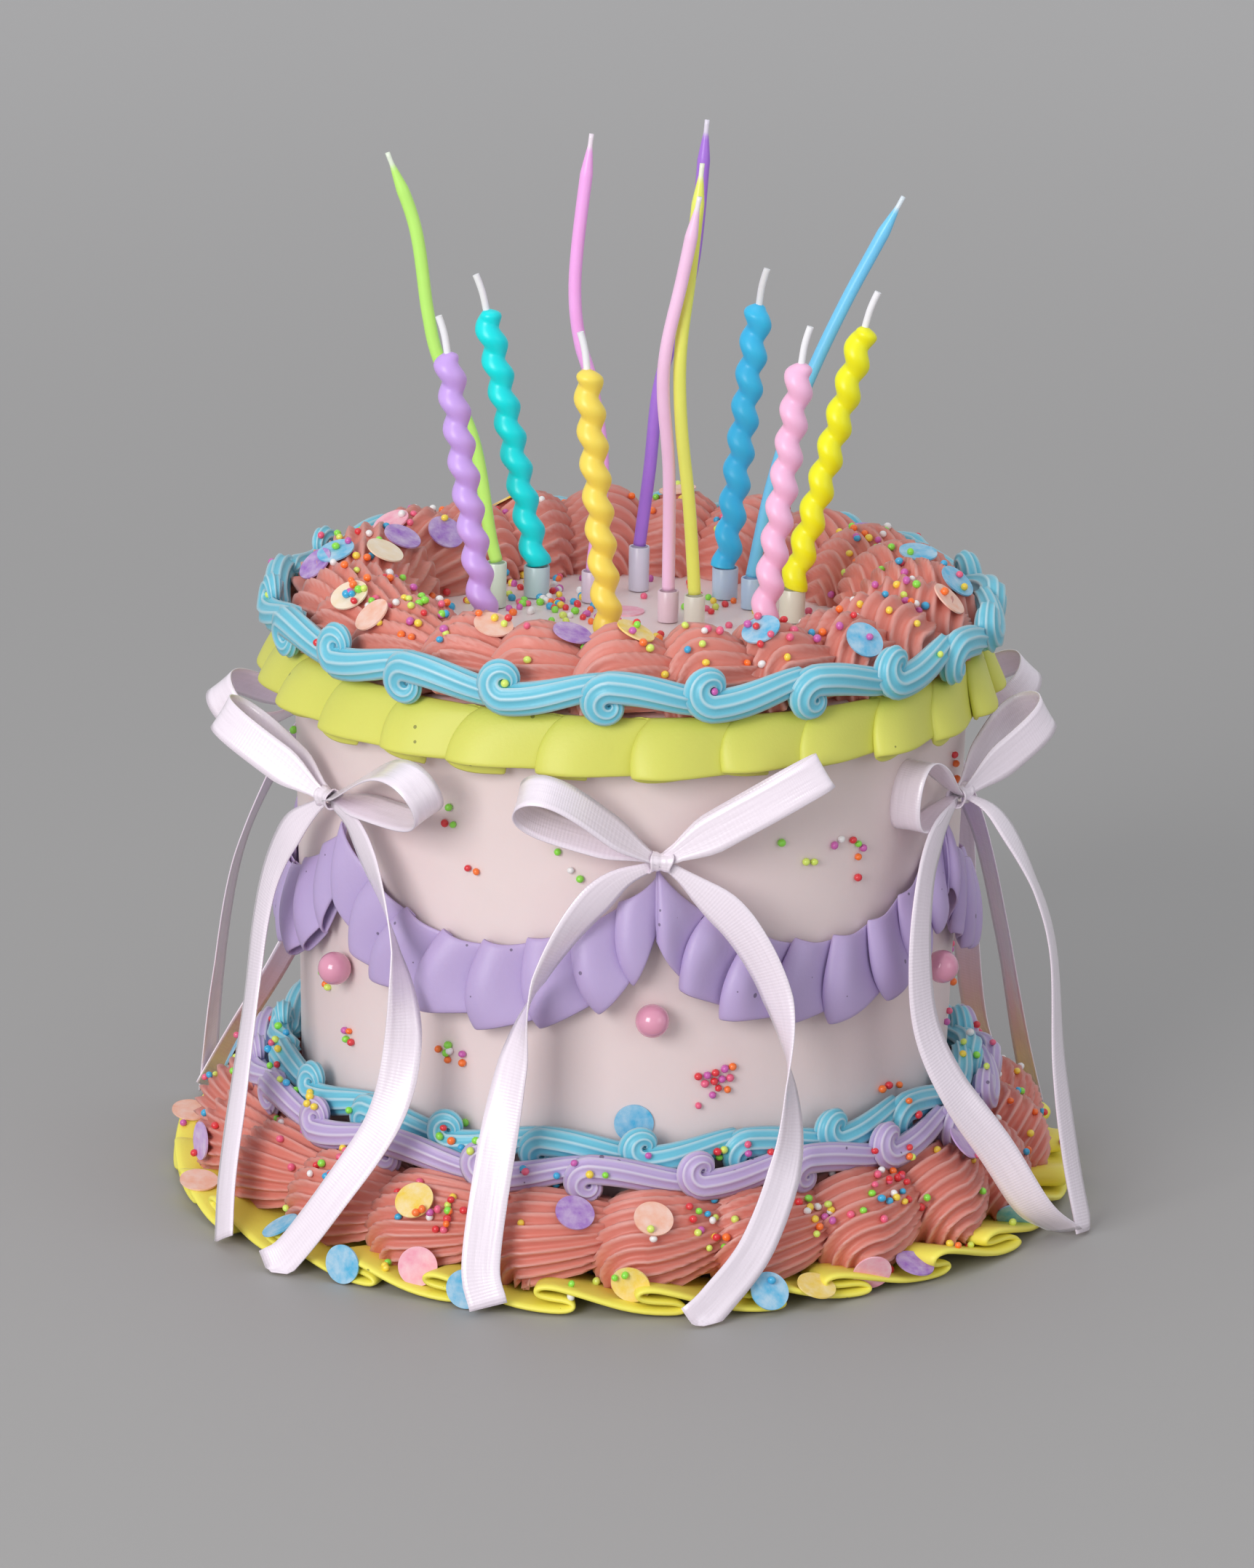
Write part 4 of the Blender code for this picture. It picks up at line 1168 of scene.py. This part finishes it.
# A disc is laid on what this many lines round its middle meet, if enough of them meet something that is
# no farther away than this from what the middle one meets.
REST_LINES = 32
LEAST_TOUCHED = 11
REST_DEPTH = 5.2 * MM


class Surfaces:
    """The pieces that toppings can lie on, for finding where a straight line meets them."""

    def __init__(self, names):
        graph = bpy.context.evaluated_depsgraph_get()
        self.trees = [BVHTree.FromObject(bpy.data.objects[name], graph) for name in names]

    def meet(self, start, way):
        """The nearest place on the line, the outward normal there and how far away it is."""
        best = None
        for tree in self.trees:
            hit, normal, _, distance = tree.ray_cast(Vector(start) * MM, Vector(way))
            if hit is not None and (best is None or distance < best[2]):
                if normal.dot(Vector(way)) > 0:
                    normal = -normal
                best = (hit, normal, distance)
        return best

    def rest(self, start, way, reach):
        """Where a disc of about that reach, in millimetres, comes to lie: its middle and its normal."""
        middle = self.meet(start, way)
        if not middle:
            return None
        way = Vector(way)
        side = way.orthogonal().normalized()
        other = way.cross(side)
        touched = []
        for step in range(REST_LINES):
            turn = step * math.pi / 16
            out = reach * (0.4 + 0.35 * (step % 3))
            met = self.meet(Vector(start) + (side * math.cos(turn) + other * math.sin(turn)) * out, way)
            if met and abs(met[2] - middle[2]) < REST_DEPTH:
                touched.append(np.array(met[0]))
        if len(touched) < LEAST_TOUCHED:
            return None
        touched = np.array(touched)
        mean = touched.mean(axis=0)
        normal = np.linalg.svd(touched - mean)[2][2]
        if np.dot(normal, way) > 0:
            normal = -normal
        lift = float(((touched - mean) @ normal).max())
        return Vector(mean + normal * lift), Vector(normal)


AIM_DISTANCE = 60.0
SPRINKLE_SINK = 0.35
CARRIERS = ["iced_drum", "coral_shells_upper", "coral_shells_lower", "blue_rope_upper", "blue_rope_lower",
            "lavender_rope_lower", "yellow_frill_upper", "yellow_frill_lower"]


def aim(azimuth, radius, height, steepness):
    """A start outside the cake and the way in from it to a place, falling by steepness degrees."""
    turn, fall = math.radians(azimuth), math.radians(steepness)
    way = np.array((-math.sin(turn) * math.cos(fall), math.cos(turn) * math.cos(fall), -math.sin(fall)))
    return around_cake(azimuth, radius, height) - way * AIM_DISTANCE, way


def add_sprinkle(bm, layer, place, normal, colour, draw):
    """A slightly uneven ball, pressed into what it lies on."""
    radius = sizes().sprinkle_radius * draw.uniform(0.88, 1.08)
    stretch = Matrix.Diagonal((1.0, draw.uniform(0.86, 1.0), draw.uniform(0.84, 1.0), 1.0))
    spin = Matrix.Rotation(draw.uniform(0, 6.28), 4, Vector((draw.random(), draw.random(), 0.5)))
    centre = Vector(place) + Vector(normal) * radius * (1 - SPRINKLE_SINK)
    made = bmesh.ops.create_icosphere(bm, subdivisions=2, radius=radius,
                                      matrix=Matrix.Translation(centre) @ spin @ stretch)
    dye(made["verts"], layer, SPRINKLE_COLOURS[colour])


def seen(across, down):
    """The start and the way of the camera's line through a place in the picture, in its pixels."""
    side = Vector(((across - IMAGE_SIZE[0] / 2) / FOCAL_PIXELS,
                   (IMAGE_SIZE[1] / 2 - down) / FOCAL_PIXELS, -1.0))
    return np.array(CAMERA_PLACE) / MM, (camera_matrix().to_3x3() @ side).normalized()


# Heaps of sprinkles: middle across and down in the picture, spread across and down, number.
SPRINKLE_HEAPS = [
    (571, 836, 34, 13, 18), (737, 828, 44, 15, 46), (790, 834, 26, 12, 18), (722, 806, 30, 10, 12),
    (985, 841, 26, 14, 16), (488, 787, 26, 20, 9), (482, 736, 20, 10, 6), (1241, 812, 26, 12, 9),
    (1188, 735, 26, 12, 8), (1085, 870, 16, 10, 6), (940, 868, 30, 12, 7), (560, 700, 30, 14, 6),
    (900, 690, 30, 8, 5), (458, 1612, 22, 22, 16), (598, 1668, 22, 20, 16), (965, 1684, 24, 24, 14),
    (1132, 1668, 26, 24, 14), (1238, 1612, 24, 20, 22), (636, 1560, 40, 12, 8), (528, 1752, 10, 8, 4),
    (1337, 1714, 12, 6, 3), (400, 1500, 26, 14, 9), (760, 1612, 40, 10, 8), (1010, 1585, 50, 12, 8),
    (1345, 1440, 14, 22, 8), (385, 1430, 10, 20, 8), (800, 1760, 60, 12, 5),
]

# Fields of loose sprinkles: number, azimuths from and to, radii from and to, aimed height, and fall.
SPRINKLE_FIELDS = [
    (46, -180, 180, 6, 56, 161, 90), (26, -70, 60, 8, 46, 161, 90), (34, -80, -35, 66, 92, 178, 62),
    (24, 40, 85, 66, 94, 178, 62), (26, -35, 40, 74, 98, 178, 50), (90, 85, 280, 64, 96, 178, 62),
    (14, -180, 180, 100, 102, 168, 40), (44, -90, 90, 100, 124, 20, 48), (120, 90, 270, 100, 124, 20, 48),
    (12, -90, 90, 120, 131, 6, 70), (34, 90, 270, 120, 131, 6, 70),
]


def build_sprinkles():
    """The small round sprinkles: those seen on the wall, heaps seen elsewhere and loose fields."""
    surfaces = Surfaces([*CARRIERS, "wafer_discs"])
    draw = random.Random(77)
    names = ["red", "orange", "green", "lime", "yellow", "blue", "pink", "magenta", "white"]
    bm, layer = new_tinted()

    def put(line, colour=None):
        met = surfaces.meet(*line)
        if met:
            add_sprinkle(bm, layer, met[0], met[1], colour or draw.choice(names), draw)

    for azimuth, height, colour in WALL_SPRINKLES:
        put(aim(azimuth, float(wall_radius(height)), height, 0.0), colour)
    for azimuth in range(80, 280, 9):
        height = draw.uniform(44, 138)
        for _ in range(draw.choice((1, 2, 3, 4))):
            put(aim(azimuth + draw.uniform(-2, 2), 95, height + draw.uniform(-3, 3), 0.0))
    for across, down, spread, depth, count in SPRINKLE_HEAPS:
        for _ in range(count):
            put(seen(draw.gauss(across, spread), draw.gauss(down, depth)))
    for count, low, high, inner, outer, height, fall in SPRINKLE_FIELDS:
        for _ in range(count):
            azimuth = draw.uniform(low, high)
            put(aim(azimuth, math.sqrt(draw.uniform(inner ** 2, outer ** 2)), height, fall))
    piece(bm, "round_sprinkles", tinted("sprinkle shell", 0.3, 700.0, 0.06, 0.3), [])


# Wafer discs seen from the front: middle across and down in the picture, and colour.
SEEN_WAFERS = [
    (434, 777, "purple"), (463, 763, "blue"), (502, 718, "pink"), (528, 759, "cream"),
    (552, 744, "purple"), (613, 734, "purple"), (483, 822, "cream"), (549, 819, "peach"),
    (514, 850, "peach"), (680, 861, "peach"), (785, 861, "blue"), (791, 878, "purple"),
    (871, 868, "yellow"), (861, 842, "pink"), (1048, 865, "blue"), (1187, 882, "blue"),
    (1257, 742, "blue"), (1295, 758, "yellow"), (1310, 822, "peach"), (1317, 799, "blue"),
    (268, 1525, "peach"), (235, 1559, "blue"), (240, 1578, "yellow"), (276, 1568, "lavender"),
    (273, 1624, "peach"), (240, 1624, "purple"), (388, 1690, "blue"), (478, 1736, "blue"),
    (582, 1742, "pink"), (572, 1654, "yellow"), (789, 1671, "purple"), (646, 1773, "blue"),
    (873, 1551, "blue"), (873, 1758, "yellow"), (897, 1679, "peach"), (1054, 1781, "blue"),
    (1121, 1782, "yellow"), (1191, 1736, "pink"), (1254, 1753, "purple"), (1395, 1677, "blue"),
    (1322, 1578, "lavender"),
]

# Wafer discs on the sides that the picture does not show: azimuth, radius, aimed height, fall, colour.
WAFERS = [
    (100, 84, 182, 60, "blue"), (128, 88, 182, 60, "purple"), (171, 82, 184, 70, "peach"),
    (206, 88, 182, 60, "yellow"), (238, 84, 182, 65, "pink"), (110, 118, 16, 55, "yellow"),
    (146, 122, 14, 55, "blue"), (188, 119, 16, 55, "pink"), (223, 122, 14, 55, "peach"),
    (251, 118, 16, 55, "blue"),
]

WAFER_REACH = 4.6


def back_inside(verts, gap=0.3 * MM):
    """The shift that brings these vertices back inside the cake's own box."""
    shift = Vector()
    for axis in range(3):
        low = min(vert.co[axis] for vert in verts)
        high = max(vert.co[axis] for vert in verts)
        if low < CAD_BOX[0][axis] + gap:
            shift[axis] = CAD_BOX[0][axis] + gap - low
        if high > CAD_BOX[1][axis] - gap:
            shift[axis] = CAD_BOX[1][axis] - gap - high
    return shift


def build_wafers():
    """The thin watercolour wafer discs."""
    surfaces = Surfaces(CARRIERS)
    bm, layer = new_tinted()
    lines = [(*seen(across, down), colour) for across, down, colour in SEEN_WAFERS]
    lines += [(*aim(*line), colour) for *line, colour in WAFERS]
    radius = sizes().wafer_radius
    for start, way, colour in lines:
        met = surfaces.rest(start, way, WAFER_REACH)
        if not met:
            continue
        place, normal = met
        turn = normal.to_track_quat("Z", "Y").to_matrix().to_4x4()
        made = bmesh.ops.create_cone(bm, cap_ends=True, cap_tris=False, segments=40, radius1=radius,
                                     radius2=radius, depth=0.5 * MM,
                                     matrix=Matrix.Translation(place + normal * 0.0002) @ turn)
        bmesh.ops.translate(bm, verts=made["verts"], vec=back_inside(made["verts"]))
        dye(made["verts"], layer, WAFER_COLOURS[colour])
    piece(bm, "wafer_discs", tinted("wafer", 0.55, 260.0, 0.45), [], sharp=40)


# Stage

FOCAL_PIXELS = 10000.0
IMAGE_SIZE = (1724, 2156)
CAMERA_PLACE = (0.0, -2.0047, 0.6839)
CAMERA_PITCH = -15.841
CAMERA_YAW = -0.020
CAMERA_ROLL = 1.142


def camera_matrix():
    """Where the photograph was taken from, and how the camera was turned."""
    pitch, yaw, roll = (math.radians(v) for v in (CAMERA_PITCH, CAMERA_YAW, CAMERA_ROLL))
    ahead = Vector((math.sin(yaw) * math.cos(pitch), math.cos(yaw) * math.cos(pitch), math.sin(pitch)))
    right = Vector((math.cos(yaw), -math.sin(yaw), 0.0))
    up = right.cross(ahead)
    turned_right = right * math.cos(roll) + up * math.sin(roll)
    turned_up = up * math.cos(roll) - right * math.sin(roll)
    axes = Matrix((turned_right, turned_up, -ahead)).transposed().to_4x4()
    return Matrix.Translation(Vector(CAMERA_PLACE)) @ axes


def linked(name, data):
    obj = bpy.data.objects.new(name, data)
    bpy.context.scene.collection.objects.link(obj)
    return obj


def build_camera():
    """The camera, at the place and with the lens that the photograph was taken with."""
    data = bpy.data.cameras.new("Camera")
    data.sensor_width = 36.0
    data.lens = FOCAL_PIXELS / max(IMAGE_SIZE) * data.sensor_width
    data.clip_start = 0.05
    data.clip_end = 60.0
    camera = linked("Camera", data)
    camera.matrix_world = camera_matrix()
    bpy.context.scene.camera = camera


def add_softbox(name, place, target, size, power, colour=(1.0, 1.0, 1.0)):
    """A square soft light that looks at its target."""
    data = bpy.data.lights.new(name, "AREA")
    data.shape = "RECTANGLE"
    data.size = data.size_y = size
    data.energy = power
    data.color = colour
    way = (Vector(target) - Vector(place)).to_track_quat("-Z", "Y")
    linked(name, data).matrix_world = Matrix.Translation(Vector(place)) @ way.to_matrix().to_4x4()


def build_stage():
    """Plain pale floor, soft studio light and the camera."""
    bm = bmesh.new()
    bmesh.ops.create_circle(bm, cap_ends=True, segments=96, radius=7.0)
    mesh = bpy.data.meshes.new("floor")
    bm.to_mesh(mesh)
    bm.free()
    mesh.materials.append(studio_floor("studio floor", tuple(colours().floor)))
    linked("floor", mesh)
    world = bpy.data.worlds.new("studio")
    world.use_nodes = True
    background = world.node_tree.nodes["Background"]
    background.inputs["Color"].default_value = (0.95, 0.97, 1.0, 1.0)
    background.inputs["Strength"].default_value = 0.62
    bpy.context.scene.world = world
    add_softbox("key light", (-1.3, -2.1, 1.05), (0, 0, 0.12), 1.2, 40.0, (1.0, 0.99, 0.98))
    add_softbox("fill light", (1.7, -1.4, 0.8), (0, 0, 0.12), 1.0, 3.0)
    add_softbox("top light", (0.0, 0.3, 1.8), (0, 0, 0.1), 1.2, 3.0)
    bpy.context.scene.view_settings.view_transform = "Standard"
    build_camera()


# Operators


class CAKE_OT_stage(bpy.types.Operator):
    """Set the floor, the studio light and the camera"""

    bl_idname = "cake.stage"
    bl_label = "Stage"

    def execute(self, context):
        build_stage()
        return {"FINISHED"}


class CAKE_OT_body(bpy.types.Operator):
    """Build the smooth iced drum"""

    bl_idname = "cake.body"
    bl_label = "Iced drum"

    def execute(self, context):
        build_body()
        return {"FINISHED"}


class CAKE_OT_shells(bpy.types.Operator):
    """Pipe the coral shells round the top and the foot"""

    bl_idname = "cake.shells"
    bl_label = "Coral shells"

    def execute(self, context):
        build_all_shells()
        return {"FINISHED"}


class CAKE_OT_scrolls(bpy.types.Operator):
    """Pipe the blue and lavender scrolled ropes"""

    bl_idname = "cake.scrolls"
    bl_label = "Scrolled ropes"

    def execute(self, context):
        build_ropes()
        return {"FINISHED"}


class CAKE_OT_frills(bpy.types.Operator):
    """Pipe the yellow frills round the top and the foot"""

    bl_idname = "cake.frills"
    bl_label = "Yellow frills"

    def execute(self, context):
        build_top_frill()
        build_base_frill()
        return {"FINISHED"}


class CAKE_OT_swags(bpy.types.Operator):
    """Hang the pleated lavender swags from bow to bow"""

    bl_idname = "cake.swags"
    bl_label = "Lavender swags"

    def execute(self, context):
        build_swags()
        return {"FINISHED"}


class CAKE_OT_bows(bpy.types.Operator):
    """Tie the satin bows"""

    bl_idname = "cake.bows"
    bl_label = "Satin bows"

    def execute(self, context):
        build_bows()
        return {"FINISHED"}


class CAKE_OT_pearls(bpy.types.Operator):
    """Press the pearls into the wall"""

    bl_idname = "cake.pearls"
    bl_label = "Pearls"

    def execute(self, context):
        build_pearls()
        return {"FINISHED"}


class CAKE_OT_candles(bpy.types.Operator):
    """Set the twisted and the slim candles in their cups"""

    bl_idname = "cake.candles"
    bl_label = "Candles"

    def execute(self, context):
        build_spiral_candles()
        build_thin_candles()
        build_holders()
        return {"FINISHED"}


class CAKE_OT_toppings(bpy.types.Operator):
    """Lay the wafer discs and scatter the sprinkles"""

    bl_idname = "cake.toppings"
    bl_label = "Wafers and sprinkles"

    def execute(self, context):
        build_wafers()
        build_sprinkles()
        return {"FINISHED"}


STEPS = (CAKE_OT_stage, CAKE_OT_body, CAKE_OT_shells, CAKE_OT_scrolls, CAKE_OT_frills, CAKE_OT_swags,
         CAKE_OT_bows, CAKE_OT_pearls, CAKE_OT_candles, CAKE_OT_toppings)


class CAKE_PT_panel(bpy.types.Panel):
    """The sidebar list of the cake's steps and sizes"""

    bl_idname = "CAKE_PT_panel"
    bl_label = "Sprinkle cake"
    bl_space_type = "VIEW_3D"
    bl_region_type = "UI"
    bl_category = "Cake"

    def draw(self, context):
        for step in STEPS:
            self.layout.operator(step.bl_idname)
        for group in (context.scene.cake_sizes, context.scene.cake_colours):
            for name in group.__annotations__:
                self.layout.prop(group, name)


CLASSES = (CakeSizes, CakeColours, *STEPS, CAKE_PT_panel)


def register():
    for cls in CLASSES:
        bpy.utils.register_class(cls)
    bpy.types.Scene.cake_sizes = PointerProperty(type=CakeSizes)
    bpy.types.Scene.cake_colours = PointerProperty(type=CakeColours)


def unregister():
    del bpy.types.Scene.cake_colours
    del bpy.types.Scene.cake_sizes
    for cls in reversed(CLASSES):
        bpy.utils.unregister_class(cls)


def main():
    register()
    bpy.ops.cake.stage()
    bpy.ops.cake.body()
    bpy.ops.cake.shells()
    bpy.ops.cake.scrolls()
    bpy.ops.cake.frills()
    bpy.ops.cake.swags()
    bpy.ops.cake.bows()
    bpy.ops.cake.pearls()
    bpy.ops.cake.candles()
    bpy.ops.cake.toppings()


if __name__ == "__main__":
    main()
